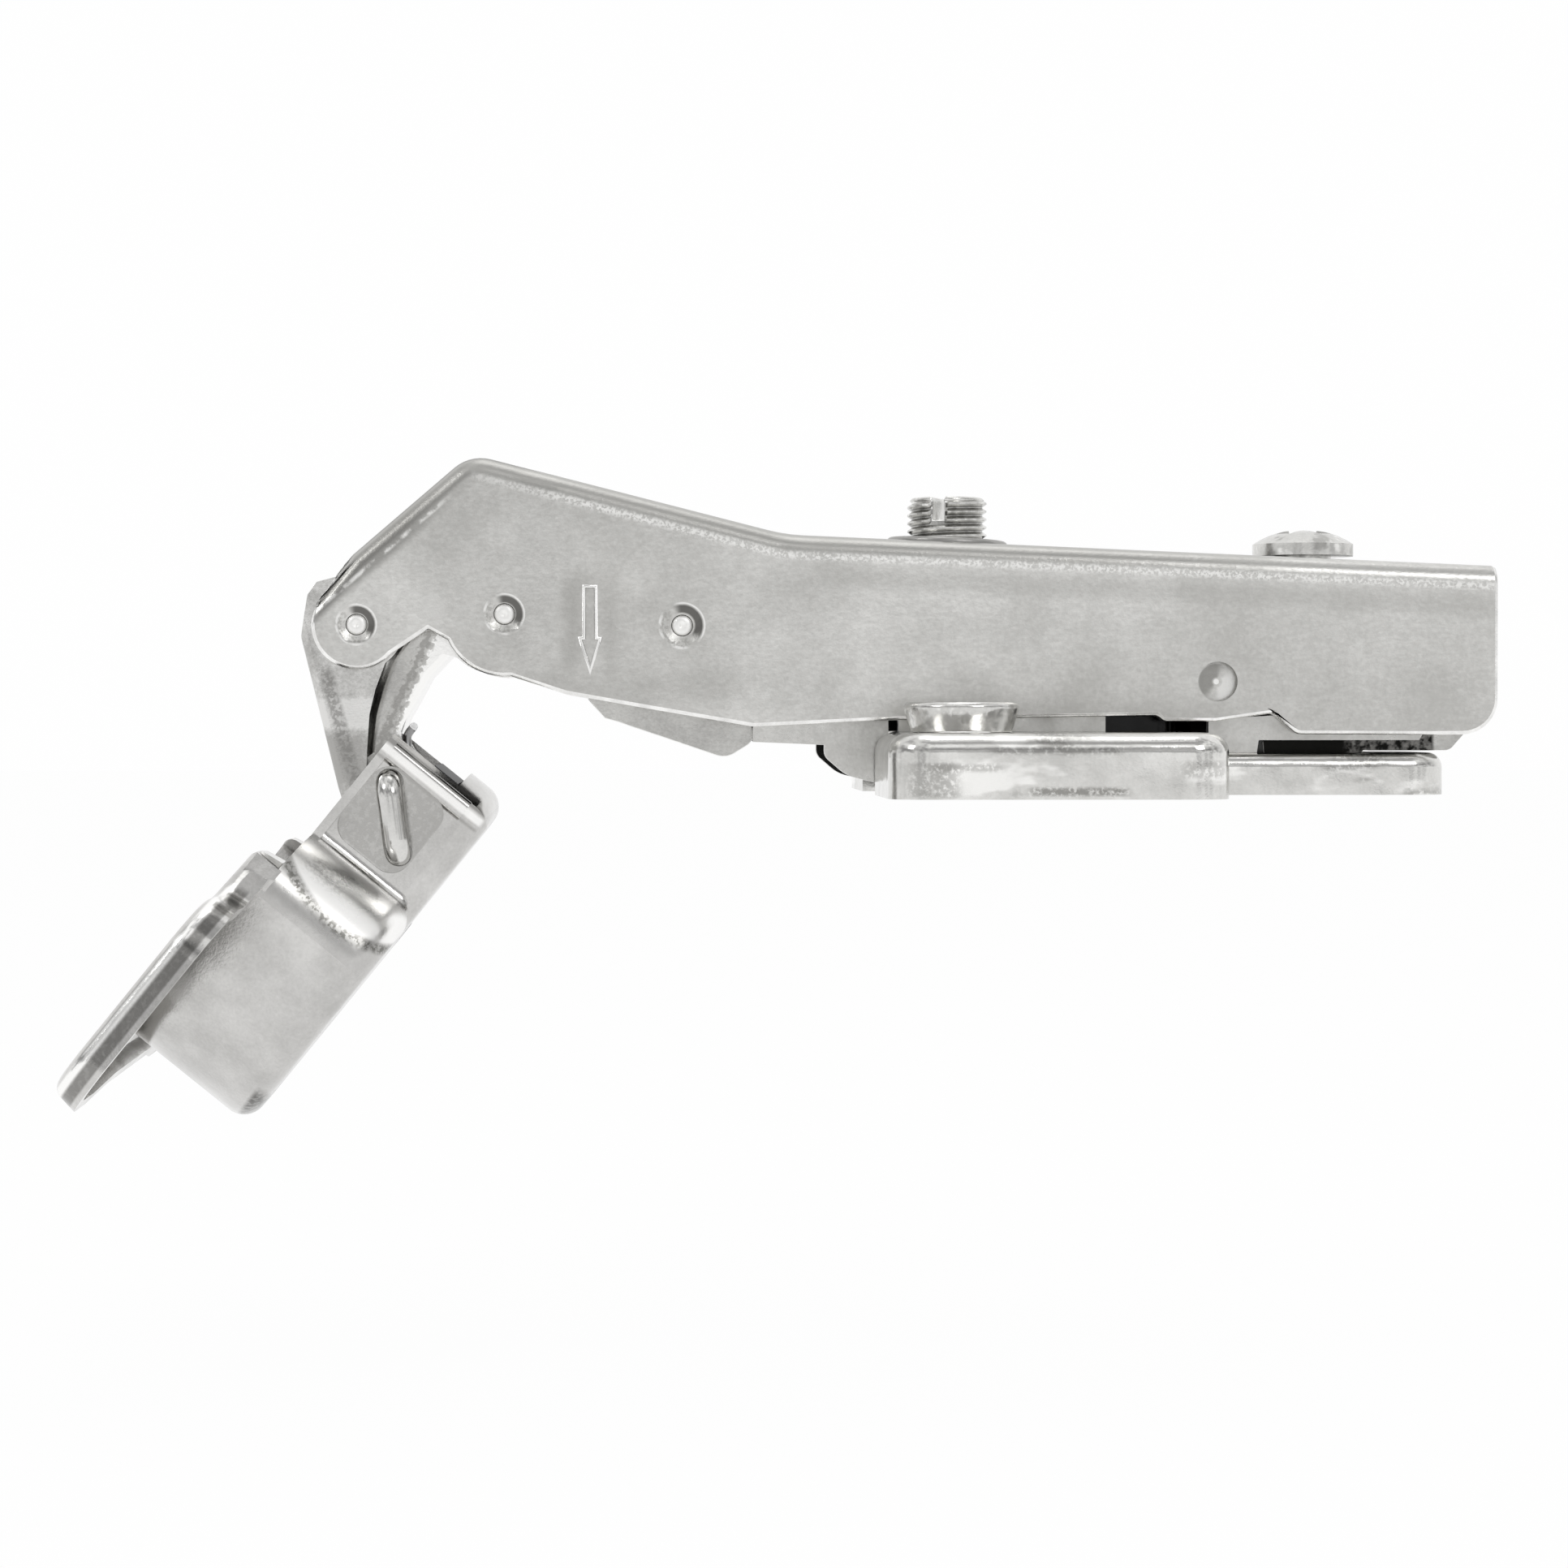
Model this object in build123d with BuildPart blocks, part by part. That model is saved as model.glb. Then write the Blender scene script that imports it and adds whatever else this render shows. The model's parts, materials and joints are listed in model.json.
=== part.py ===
# Concealed cup hinge: soft closing, angled arm, clip-on mounting plate.
# Row frame in mm: origin on the panel face midway between the two plate screws,
# +X towards the rear of the cabinet, +Y to the far side, +Z away from the panel.
# The hinge is drawn in its open pose, with the cup swung 96 degrees from closed.
import math
import os
from build123d import *

os.makedirs("parts", exist_ok=True)

# Driving sizes
CUP_BORE = 35.0                  # standard bore that the cup drops into
OPEN_NORMAL = 141.0              # direction of the mouth's normal, open, degrees from +X

PIVOT_A = (-49.19, 14.11)        # arm and outer link
PIVOT_B = (-36.99, 14.98)        # arm and inner link
PIVOT_C = (-22.30, 14.03)        # arm and damper rocker
DIMPLE_D = (22.09, 9.41)         # guide dimple near the arm's rear
CUP_CORNER = (-46.11, 5.11)      # hinge end of the cup at mouth level
CUP_PIN_1 = (3.36, 2.23)         # inner link pin, along the flange and deep
CUP_PIN_2 = (7.46, 6.50)         # outer link pin, along the flange and deep

RUN = 0.06                       # radial clearance of a turning pin
SIDE_GAP = 0.20                  # side play between nested channels
ARM_T = 1.2                      # arm sheet
CUP_T = 1.0                      # cup sheet
LINK_T = 1.1                     # outer link sheet
INNER_T = 1.0                    # inner link sheet
PLATE_T = 1.7                    # mounting plate sheet
BRACKET_T = 1.2                  # bracket sheet

CHEEK_HALF = 7.4                 # cup cheeks, outside
OUTER_HALF = CHEEK_HALF - CUP_T - SIDE_GAP
INNER_HALF = OUTER_HALF - LINK_T - 0.25
NOSE_HALF = OUTER_HALF + SIDE_GAP + ARM_T
ARM_HALF = 8.0
BRACKET_HALF = ARM_HALF - ARM_T - 0.15
ROD_R = 1.1                      # bent pin of the cup
PIN_R = 1.4                      # rivet shank between the arm's flanges
RIVET_END_R = 0.9                # turned down rivet end
DIMPLE_R = 1.65                  # dimple round each rivet end
DIMPLE_DEEP = 0.45
DIMPLE_BALL = (DIMPLE_R**2 + DIMPLE_DEEP**2) / (2 * DIMPLE_DEEP)
GUIDE_R = 1.3                    # boss behind the guide dimple, in the bracket's slot

# Cup frame: along the flange, across, and into the bore
a_along = math.radians(OPEN_NORMAL + 90)
a_deep = math.radians(OPEN_NORMAL - 180)
ALONG = (math.cos(a_along), math.sin(a_along))
DEEP = (math.cos(a_deep), math.sin(a_deep))
mouth = Plane(
    origin=(CUP_CORNER[0], 0, CUP_CORNER[1]),
    x_dir=(ALONG[0], 0, ALONG[1]),
    z_dir=(DEEP[0], 0, DEEP[1]),
)
# side view of the cup: local x along the flange, local y into the bore
cup_side = Plane(
    origin=(CUP_CORNER[0], 0, CUP_CORNER[1]),
    x_dir=(ALONG[0], 0, ALONG[1]),
    z_dir=(0, -1, 0),
)
side = Plane.XZ
BOSS_R = CUP_BORE / 2 - 0.1
BOSS_CENTRE = 16.2
CUP_DEEP = 10.9
BOTTOM_R = 2.0                   # outside radius round the cup's floor
POCKET_DEEP = 0.4                # pocket of the cheeks
PIN_MID = ((CUP_PIN_1[0] + CUP_PIN_2[0]) / 2, (CUP_PIN_1[1] + CUP_PIN_2[1]) / 2)
RISE = 2.45                      # top of the wings above the door face
WING_ALONG = (17.9, 37.3)        # wing ends along the flange
WING_DRAFT = 8.0                 # slope of the rim, degrees
CUP_HOLE_BACK = 9.5              # screw holes behind the boss's centre
CUP_HOLE_ALONG = BOSS_CENTRE + CUP_HOLE_BACK
CUP_HOLE_ACROSS = 22.5
CUP_HOLE_R = 2.6
WING_PAST_HOLE = 6.5
WING_HALF = CUP_HOLE_ACROSS + WING_PAST_HOLE
WING_NECK = BOSS_R + 2.6

P1X = CUP_CORNER[0] + CUP_PIN_1[0] * ALONG[0] + CUP_PIN_1[1] * DEEP[0]
P1Z = CUP_CORNER[1] + CUP_PIN_1[0] * ALONG[1] + CUP_PIN_1[1] * DEEP[1]
P2X = CUP_CORNER[0] + CUP_PIN_2[0] * ALONG[0] + CUP_PIN_2[1] * DEEP[0]
P2Z = CUP_CORNER[1] + CUP_PIN_2[0] * ALONG[1] + CUP_PIN_2[1] * DEEP[1]
PIVOT_1 = (P1X, P1Z)
PIVOT_2 = (P2X, P2Z)

# Arm: folded channel
ROOF_T = 1.3
ROOF_END = (-49.53, 19.94)
PEAK = (-39.83, 28.28)
KINK = (-13.70, 21.62)
REAR_TOP = (45.50, 19.07)
ROOF_SLOPE = math.degrees(math.atan2(REAR_TOP[1] - KINK[1], REAR_TOP[0] - KINK[0]))
SIDE_SCREW_X = 0.35
DEPTH_SCREW_X = 30.7
ROOF_AT_SIDE = KINK[1] + (SIDE_SCREW_X - KINK[0]) * math.tan(math.radians(ROOF_SLOPE))
ROOF_AT_DEPTH = KINK[1] + (DEPTH_SCREW_X - KINK[0]) * math.tan(math.radians(ROOF_SLOPE))
SIDE_SCREW_R = 3.37
TILT_GAP = 0.30                  # round the side screw, for the arm's tilt
DEPTH_TRAVEL = 2.0               # arm slides this far each way
DEPTH_SHANK_R = 2.4

with BuildPart() as arm_void:
    # room inside the channel, from the roof's underside down
    with BuildSketch(side) as void_profile:
        with BuildLine():
            Polyline(
                (PEAK[0] - 0.05, PEAK[1] - 1.52),
                (KINK[0] - 0.22, KINK[1] - ROOF_T),
                (REAR_TOP[0] + 2, REAR_TOP[1] - ROOF_T - 0.09),
                (REAR_TOP[0] + 2, -3),
                (-60, -3),
                (-60, ROOF_END[1] - 0.92),
                (ROOF_END[0] + 0.6, ROOF_END[1] - 0.92),
                close=True,
            )
        make_face()
        fillet(void_profile.vertices().sort_by_distance((PEAK[0], PEAK[1] - 1.5))[0], 2.2)
        fillet(void_profile.vertices().sort_by_distance((KINK[0], KINK[1] - ROOF_T))[0], 13)
    extrude(amount=20, both=True)
    with BuildSketch(Plane.XY.offset(-5)):
        with BuildLine():
            Polyline(
                (-62, NOSE_HALF - ARM_T),
                (-35.6, NOSE_HALF - ARM_T),
                (-32.4, ARM_HALF - ARM_T),
                (50, ARM_HALF - ARM_T),
                (50, -ARM_HALF + ARM_T),
                (-32.4, -ARM_HALF + ARM_T),
                (-35.6, -NOSE_HALF + ARM_T),
                (-62, -NOSE_HALF + ARM_T),
                close=True,
            )
        make_face()
    extrude(amount=40, mode=Mode.INTERSECT)

with BuildPart() as hinge_arm:
    with BuildSketch(side) as arm_profile:
        with BuildLine():
            Polyline(
                ROOF_END,
                PEAK,
                KINK,
                REAR_TOP,
                (45.5, 5.05),
                (39.7, 5.0),
                (28.7, 5.05),
                (26.65, 6.78),
                (21.9, 6.09),
                (17.6, 6.09),
                (17.1, 6.57),
                (-4.7, 6.24),
                (-16.4, 5.67),
                (-25.2, 7.18),
                (-31.9, 8.36),
                (-36.5, 9.86),
                (-43.3, 13.75),
                (-47.6, 10.86),
                (-52.55, 12.9),
                (-52.62, 15.6),
                (-50.25, 19.1),
                close=True,
            )
        make_face()
        with Locations(PIVOT_B):
            Circle(5.15)
        with Locations(PIVOT_A):
            Circle(3.72)
        for spot, radius in (
            (PEAK, 3.4),
            (KINK, 14.0),
            ((45.5, 5.05), 3.0),
            ((28.7, 5.05), 1.2),
            ((26.65, 6.78), 0.8),
        ):
            fillet(arm_profile.vertices().sort_by_distance(spot)[0], radius)
    extrude(amount=20, both=True)
    with BuildSketch(Plane.XY.offset(-5)) as arm_plan:
        # the nose is narrower, so that it enters the cup when the door closes
        with BuildLine():
            Polyline(
                (-62, NOSE_HALF),
                (-36.0, NOSE_HALF),
                (-32.8, ARM_HALF),
                (50, ARM_HALF),
                (50, -ARM_HALF),
                (-32.8, -ARM_HALF),
                (-36.0, -NOSE_HALF),
                (-62, -NOSE_HALF),
                close=True,
            )
        make_face()
        for spot in ((-36.0, NOSE_HALF), (-32.8, ARM_HALF), (-32.8, -ARM_HALF), (-36.0, -NOSE_HALF)):
            fillet(arm_plan.vertices().sort_by_distance(spot)[0], 6.0)
    extrude(amount=40, mode=Mode.INTERSECT)
    top_edges = (
        hinge_arm.edges()
        .filter_by(lambda e: abs(e.center().Y) > 7.0)
        .filter_by(lambda e: e.center().Z > 18.0)
        .filter_by(lambda e: abs(e.tangent_at(0.5).Z) < 0.9)
        .filter_by(lambda e: abs(e.tangent_at(0.5).Y) < 0.9)
    )
    fillet(top_edges, 1.5)
    add(arm_void.part, mode=Mode.SUBTRACT)
    # raised pad and threaded hole for the side screw
    roof_pad = Plane(
        origin=(SIDE_SCREW_X, 0, ROOF_AT_SIDE),
        x_dir=(math.cos(math.radians(ROOF_SLOPE)), 0, math.sin(math.radians(ROOF_SLOPE))),
        z_dir=(-math.sin(math.radians(ROOF_SLOPE)), 0, math.cos(math.radians(ROOF_SLOPE))),
    )
    with BuildSketch(roof_pad.offset(-0.1)):
        Circle(5.1)
    extrude(amount=0.62)
    fillet(hinge_arm.edges().filter_by(GeomType.CIRCLE).sort_by_distance((SIDE_SCREW_X, 0, 26))[0], 0.35)
    with BuildSketch(Plane.XY.offset(ROOF_AT_SIDE - 4)):
        with Locations((SIDE_SCREW_X, 0)):
            Circle(SIDE_SCREW_R + TILT_GAP)
    extrude(amount=8, mode=Mode.SUBTRACT)
    # slot for the depth screw
    with BuildSketch(Plane.XY.offset(ROOF_AT_DEPTH - 4)):
        with Locations((DEPTH_SCREW_X, 0)):
            SlotCenterToCenter(2 * DEPTH_TRAVEL + 0.8, 2 * DEPTH_SHANK_R + 0.5)
    extrude(amount=8, mode=Mode.SUBTRACT)
    # dimples round the rivet ends and the holes behind them
    for spot, deep_half in ((PIVOT_A, NOSE_HALF), (PIVOT_B, NOSE_HALF), (PIVOT_C, ARM_HALF)):
        for way in (-1, 1):
            with Locations((spot[0], way * (deep_half + DIMPLE_BALL - DIMPLE_DEEP), spot[1])):
                Sphere(DIMPLE_BALL, mode=Mode.SUBTRACT)
        with Locations(Location((spot[0], 0, spot[1]), (90, 0, 0))):
            Cylinder(RIVET_END_R, 30, mode=Mode.SUBTRACT)
    # guide dimples and the bosses that they raise inside
    for way in (-1, 1):
        with BuildSketch(side.offset(-way * (ARM_HALF - ARM_T / 2))):
            with Locations(DIMPLE_D):
                Circle(GUIDE_R)
        extrude(amount=way * (ARM_T / 2 + 1.05))
        with Locations(Location((DIMPLE_D[0], way * ARM_HALF, DIMPLE_D[1]), (90 * way, 0, 0))):
            Cone(0.2, 2 * DIMPLE_R - 0.2, 1.5, mode=Mode.SUBTRACT)
    # outlined arrow pressed into the near flange
    with BuildSketch(side.offset(ARM_HALF - 0.16)):
        with BuildLine():
            Polyline(
                (-30.5, 17.35),
                (-29.32, 17.35),
                (-29.32, 13.05),
                (-28.88, 13.05),
                (-29.88, 10.1),
                (-30.9, 13.05),
                (-30.5, 13.05),
                close=True,
            )
        make_face()
        offset(amount=-0.26, mode=Mode.SUBTRACT)
    extrude(amount=1.0, mode=Mode.SUBTRACT)
hinge_arm.part.label = "hinge_arm"
export_step(hinge_arm.part, "parts/hinge_arm.step")

# Rivets across the arm
with BuildPart() as outer_link_rivet:
    with BuildSketch(side):
        with Locations(PIVOT_A):
            Circle(PIN_R)
    extrude(amount=NOSE_HALF - ARM_T, both=True)
    with BuildSketch(side):
        with Locations(PIVOT_A):
            Circle(RIVET_END_R)
    extrude(amount=NOSE_HALF - 0.12, both=True)
    fillet(outer_link_rivet.faces().sort_by(Axis.Y)[0].edges(), 0.5)
    fillet(outer_link_rivet.faces().sort_by(Axis.Y)[-1].edges(), 0.5)
outer_link_rivet.part.label = "outer_link_rivet"
export_step(outer_link_rivet.part, "parts/outer_link_rivet.step")

with BuildPart() as inner_link_rivet:
    with BuildSketch(side):
        with Locations(PIVOT_B):
            Circle(PIN_R)
    extrude(amount=NOSE_HALF - ARM_T, both=True)
    with BuildSketch(side):
        with Locations(PIVOT_B):
            Circle(RIVET_END_R)
    extrude(amount=NOSE_HALF - 0.12, both=True)
    fillet(inner_link_rivet.faces().sort_by(Axis.Y)[0].edges(), 0.5)
    fillet(inner_link_rivet.faces().sort_by(Axis.Y)[-1].edges(), 0.5)
inner_link_rivet.part.label = "inner_link_rivet"
export_step(inner_link_rivet.part, "parts/inner_link_rivet.step")

with BuildPart() as damper_rivet:
    with BuildSketch(side):
        with Locations(PIVOT_C):
            Circle(PIN_R)
    extrude(amount=ARM_HALF - ARM_T, both=True)
    with BuildSketch(side):
        with Locations(PIVOT_C):
            Circle(RIVET_END_R)
    extrude(amount=ARM_HALF - 0.12, both=True)
    fillet(damper_rivet.faces().sort_by(Axis.Y)[0].edges(), 0.5)
    fillet(damper_rivet.faces().sort_by(Axis.Y)[-1].edges(), 0.5)
damper_rivet.part.label = "damper_rivet"
export_step(damper_rivet.part, "parts/damper_rivet.step")

# Outer link: channel that hooks round the cup's first pin
with BuildPart() as outer_link:
    with BuildSketch(side) as outer_profile:
        with BuildLine():
            Polyline(
                (-53.87, 12.94),
                (-53.87, 13.25),
                (-53.33, 16.59),
                (-52.58, 17.67),
                (-50.6, 18.2),
                (-46.3, 16.6),
                (-45.7, 13.6),
                (-46.6, 11.8),
                (-47.72, 8.75),
                (-48.2, 6.7),
                (-48.4, 3.7),
                (-48.45, 1.1),
                (-47.9, -0.4),
                (-46.6, -1.3),
                (-43.7, -3.0),
                (-44.5, -6.9),
                (-48.1, -6.5),
                (-49.85, -2.6),
                (-50.83, 0.58),
                close=True,
            )
        make_face()
        with Locations(PIVOT_A):
            Circle(3.9)
        with Locations(PIVOT_2):
            Circle(2.85)
        for spot, radius in (
            ((-48.45, 1.1), 1.6),
            ((-47.9, -0.4), 1.2),
            ((-49.85, -2.6), 3.0),
        ):
            fillet(outer_profile.vertices().sort_by_distance(spot)[0], radius)
    extrude(amount=OUTER_HALF, both=True)
    web_edges = (
        outer_link.edges()
        .filter_by(lambda e: abs(abs(e.center().Y) - OUTER_HALF) < 0.01)
        .filter_by(lambda e: abs(e.center().X + 52.35) < 0.5 and 4 < e.center().Z < 9)
    )
    fillet(web_edges, 0.8)
    # inside of the channel, open above and below the web
    with BuildSketch(side):
        with BuildLine():
            Polyline(
                (-60, 12.94),
                (-52.75, 12.94),
                (-49.82, 1.1),
                (-49.9, 0.2),
                (-60, 0.2),
                (-60, -12),
                (-38, -12),
                (-38, 24),
                (-60, 24),
                close=True,
            )
        make_face()
    extrude(amount=OUTER_HALF - LINK_T, both=True, mode=Mode.SUBTRACT)
    with BuildSketch(side):
        with Locations(PIVOT_A):
            Circle(PIN_R + RUN)
        with Locations(PIVOT_2):
            Circle(ROD_R + RUN)
    extrude(amount=20, both=True, mode=Mode.SUBTRACT)
outer_link.part.label = "outer_link"
export_step(outer_link.part, "parts/outer_link.step")

# Inner link: bowed channel
# Turns about +Y while the door closes, in degrees: the links turn at steady ratios,
# so the rivet wanders inside a window in the link's upper end.
OUTER_FOLD = -27.91
CUP_FOLD = 123.91
INNER_FOLD = -149.80
WINDOW_GAP = 0.12                # round the rivet, along its path
FOLD_STEPS = 9


def turned(point, centre, degrees):
    # where a point of the side view goes in a turn about +Y through a centre
    angle = math.radians(degrees)
    dx = point[0] - centre[0]
    dz = point[1] - centre[1]
    new_x = centre[0] + dx * math.cos(angle) + dz * math.sin(angle)
    new_z = centre[1] - dx * math.sin(angle) + dz * math.cos(angle)
    return (new_x, new_z)


fold_path = []
for step in range(FOLD_STEPS + 1):
    share = step / FOLD_STEPS
    seen_by_outer = turned(PIVOT_B, PIVOT_A, -OUTER_FOLD * share)
    seen_by_cup = turned(seen_by_outer, PIVOT_2, -CUP_FOLD * share)
    fold_path.append(turned(seen_by_cup, PIVOT_1, -INNER_FOLD * share))

with BuildPart() as inner_link:
    with BuildSketch(side) as inner_profile:
        with BuildLine():
            Polyline(
                (-37.0, 19.3),
                (-41.0, 17.2),
                (-44.9, 14.6),
                (-46.7, 11.7),
                (-47.5, 9.4),
                (-48.2, 6.9),
                (-48.6, 4.3),
                (-49.0, 2.2),
                (-46.5, -1.6),
                (-43.9, 2.0),
                (-45.6, 4.6),
                (-45.65, 5.2),
                (-45.2, 6.4),
                (-44.5, 7.6),
                (-43.3, 9.8),
                (-41.6, 11.6),
                (-38.0, 10.6),
                close=True,
            )
        make_face()
        with Locations((PIVOT_B[0] - 0.8, PIVOT_B[1] - 0.4)):
            Circle(4.5)
        with Locations(PIVOT_1):
            Circle(2.8)
        for spot, radius in (
            ((-44.9, 14.6), 5.0),
            ((-47.5, 9.4), 8.0),
            ((-48.6, 4.3), 1.5),
            ((-44.5, 7.6), 8.0),
        ):
            fillet(inner_profile.vertices().sort_by_distance(spot)[0], radius)
    extrude(amount=INNER_HALF, both=True)
    back_edges = (
        inner_link.edges()
        .filter_by(lambda e: abs(abs(e.center().Y) - INNER_HALF) < 0.01)
        .filter_by(lambda e: -45.75 < e.center().X < -42 and 5.0 < e.center().Z < 11.0)
        .filter_by(lambda e: e.center().X > -45.9 + (e.center().Z - 5.0) * 0.3)
    )
    fillet(back_edges, 0.6)
    front_edges = (
        inner_link.edges()
        .filter_by(lambda e: abs(abs(e.center().Y) - INNER_HALF) < 0.01)
        .filter_by(lambda e: -48.8 < e.center().X < -45.5 and 4.9 < e.center().Z < 13.0)
        .filter_by(lambda e: e.center().X < -46.9 + (e.center().Z - 5.0) * 0.24)
    )
    fillet(front_edges, 1.0)
    # forked at both ends, a solid bow between
    with BuildSketch(side):
        with BuildLine():
            Polyline(
                (-60, 13.6),
                (-46.5, 13.6),
                (-42.0, 12.75),
                (-39.5, 11.9),
                (-30, 11.9),
                (-30, 24),
                (-60, 24),
                close=True,
            )
        make_face()
        with BuildLine():
            Polyline((-60, 5.05), (-38, 5.05), (-38, -5), (-60, -5), close=True)
        make_face()
    extrude(amount=INNER_HALF - INNER_T, both=True, mode=Mode.SUBTRACT)
    with BuildSketch(side):
        with Locations(PIVOT_1):
            Circle(ROD_R + RUN)
    extrude(amount=20, both=True, mode=Mode.SUBTRACT)
    # clearance window of the open pivot
    with BuildSketch(side):
        with Locations(*fold_path):
            Circle(PIN_R + WINDOW_GAP)
        make_hull()
    extrude(amount=20, both=True, mode=Mode.SUBTRACT)
inner_link.part.label = "inner_link"
export_step(inner_link.part, "parts/inner_link.step")

# Cup
with BuildPart() as hinge_cup:
    # raised wings with a turned down rim
    with BuildSketch(mouth.offset(-RISE)) as wing_plan:
        with BuildLine():
            Polyline(
                (13.7, -BOSS_R + 1.9),
                (WING_ALONG[0], -WING_NECK),
                (WING_ALONG[0], -WING_HALF),
                (WING_ALONG[1], -WING_HALF),
                (WING_ALONG[1], -19.5),
                (36.2, -12.0),
                (36.2, 12.0),
                (WING_ALONG[1], 19.5),
                (WING_ALONG[1], WING_HALF),
                (WING_ALONG[0], WING_HALF),
                (WING_ALONG[0], WING_NECK),
                (13.7, BOSS_R - 1.9),
                close=True,
            )
        make_face()
        for way in (-1, 1):
            for spot, radius in (
                ((WING_ALONG[0], way * WING_HALF), 4.5),
                ((WING_ALONG[1], way * WING_HALF), 4.5),
                ((WING_ALONG[0], way * WING_NECK), 3.0),
            ):
                fillet(wing_plan.vertices().sort_by_distance(spot)[0], radius)
    extrude(amount=RISE, taper=-WING_DRAFT)
    fillet(hinge_cup.faces().sort_by(Axis(mouth.origin, mouth.z_dir))[0].outer_wire().edges(), 1.1)
    with BuildSketch(mouth.offset(-RISE + 1.05)):
        add(wing_plan.sketch_local)
        offset(amount=-1.0, mode=Mode.REPLACE)
    extrude(amount=RISE, taper=-WING_DRAFT, mode=Mode.SUBTRACT)
    # boss with the narrow hinge end
    with BuildSketch(mouth.offset(-RISE + 0.4)):
        with Locations((BOSS_CENTRE, 0)):
            Circle(BOSS_R)
        with Locations((13.8 - 10, 0)):
            Rectangle(20, 40, mode=Mode.SUBTRACT)
    extrude(amount=RISE)
    with BuildSketch(mouth) as boss_plan:
        with Locations((BOSS_CENTRE, 0)):
            Circle(BOSS_R)
        for way in (-1, 1):
            with BuildLine():
                Polyline(
                    (-4, way * CHEEK_HALF),
                    (10.4, way * CHEEK_HALF),
                    (14.6, way * 17.5),
                    (14.6, way * 22),
                    (-4, way * 22),
                    close=True,
                )
            make_face(mode=Mode.SUBTRACT)
        for way in (-1, 1):
            fillet(boss_plan.vertices().sort_by_distance((10.4, way * CHEEK_HALF))[0], 1.0)
            fillet(boss_plan.vertices().sort_by_distance((14.4, way * 17.2))[0], 2.8)
    extrude(amount=CUP_DEEP)
    bottom = hinge_cup.faces().sort_by(Axis(mouth.origin, mouth.z_dir))[-1]
    fillet(bottom.edges(), BOTTOM_R)
    # small lip along the cheeks and beads at the hinge end
    with BuildSketch(mouth):
        with Locations((7.1, 0)):
            Rectangle(13.6, 2 * CHEEK_HALF + 1.5)
    extrude(amount=0.75)
    for way in (-1, 1):
        with BuildSketch(mouth.offset(0.6)):
            with Locations((1.35, way * (CHEEK_HALF - 0.1))):
                RectangleRounded(1.9, 1.3, 0.6)
        extrude(amount=8.0)
    # inside
    with BuildSketch(mouth.offset(CUP_DEEP - CUP_T)) as cup_void:
        add(boss_plan.sketch_local)
        offset(amount=-CUP_T, mode=Mode.REPLACE)
    extrude(amount=-CUP_DEEP - RISE - 1, mode=Mode.SUBTRACT)
    # notch of the hinge end, from mouth to seven tenths of the depth
    with BuildSketch(mouth.offset(-1)):
        with Locations((-1.0, 0)):
            Rectangle(6.0, 2 * (CHEEK_HALF - CUP_T))
    extrude(amount=7.9, mode=Mode.SUBTRACT)
    # shallow pocket in the near and far cheek round the bent pin
    for way in (-1, 1):
        with BuildSketch(cup_side.offset(-way * (CHEEK_HALF - POCKET_DEEP))):
            with Locations(((PIN_MID[0] + 0.3, PIN_MID[1] - 0.1))):
                RectangleRounded(7.6, 7.0, 1.8)
        extrude(amount=-way * 0.9, mode=Mode.SUBTRACT)
    # holes of the bent pin
    with BuildSketch(cup_side):
        with Locations(CUP_PIN_1, CUP_PIN_2):
            Circle(ROD_R + 0.02)
    extrude(amount=30, both=True, mode=Mode.SUBTRACT)
    # screw holes of the wings
    for way in (-1, 1):
        with BuildSketch(mouth.offset(-RISE - 0.5)):
            with Locations((CUP_HOLE_ALONG, way * CUP_HOLE_ACROSS)):
                Circle(CUP_HOLE_R)
        extrude(amount=2.5, mode=Mode.SUBTRACT)
hinge_cup.part.label = "hinge_cup"
export_step(hinge_cup.part, "parts/hinge_cup.step")

pin_span = math.hypot(PIVOT_2[0] - PIVOT_1[0], PIVOT_2[1] - PIVOT_1[1])
ROD_BEND = CHEEK_HALF + ROD_R + 0.12
pin_plane = Plane(
    origin=(PIVOT_1[0], 0, PIVOT_1[1]),
    x_dir=((PIVOT_2[0] - PIVOT_1[0]) / pin_span, 0, (PIVOT_2[1] - PIVOT_1[1]) / pin_span),
    z_dir=(-(PIVOT_2[1] - PIVOT_1[1]) / pin_span, 0, (PIVOT_2[0] - PIVOT_1[0]) / pin_span),
)
with BuildPart() as cup_dual_pin:
    # one rod bent outside the near cheek; its two legs are the cup's pivots
    with BuildLine(pin_plane) as rod_line:
        Line((0, CHEEK_HALF + 0.9), (0, -ROD_BEND + 1.2))
        TangentArc((0, -ROD_BEND + 1.2), (1.2, -ROD_BEND), tangent=(0, -1))
        Line((1.2, -ROD_BEND), (pin_span - 1.2, -ROD_BEND))
        TangentArc((pin_span - 1.2, -ROD_BEND), (pin_span, -ROD_BEND + 1.2), tangent=(1, 0))
        Line((pin_span, -ROD_BEND + 1.2), (pin_span, CHEEK_HALF + 0.9))
    with BuildSketch(Plane(origin=(PIVOT_1[0], CHEEK_HALF + 0.9, PIVOT_1[1]), z_dir=(0, -1, 0))):
        Circle(ROD_R)
    sweep(path=rod_line.line)
    fillet(cup_dual_pin.faces().filter_by(GeomType.PLANE).edges(), 0.3)
cup_dual_pin.part.label = "cup_dual_pin"
export_step(cup_dual_pin.part, "parts/cup_dual_pin.step")

with BuildPart() as pivot_sleeve:
    # light sleeve on the first leg, between the inner link's eyes
    with BuildSketch(side):
        with Locations(PIVOT_1):
            Circle(2.25)
            Circle(ROD_R, mode=Mode.SUBTRACT)
    extrude(amount=INNER_HALF - INNER_T - 0.1, both=True)
pivot_sleeve.part.label = "pivot_sleeve"
export_step(pivot_sleeve.part, "parts/pivot_sleeve.step")

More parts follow.
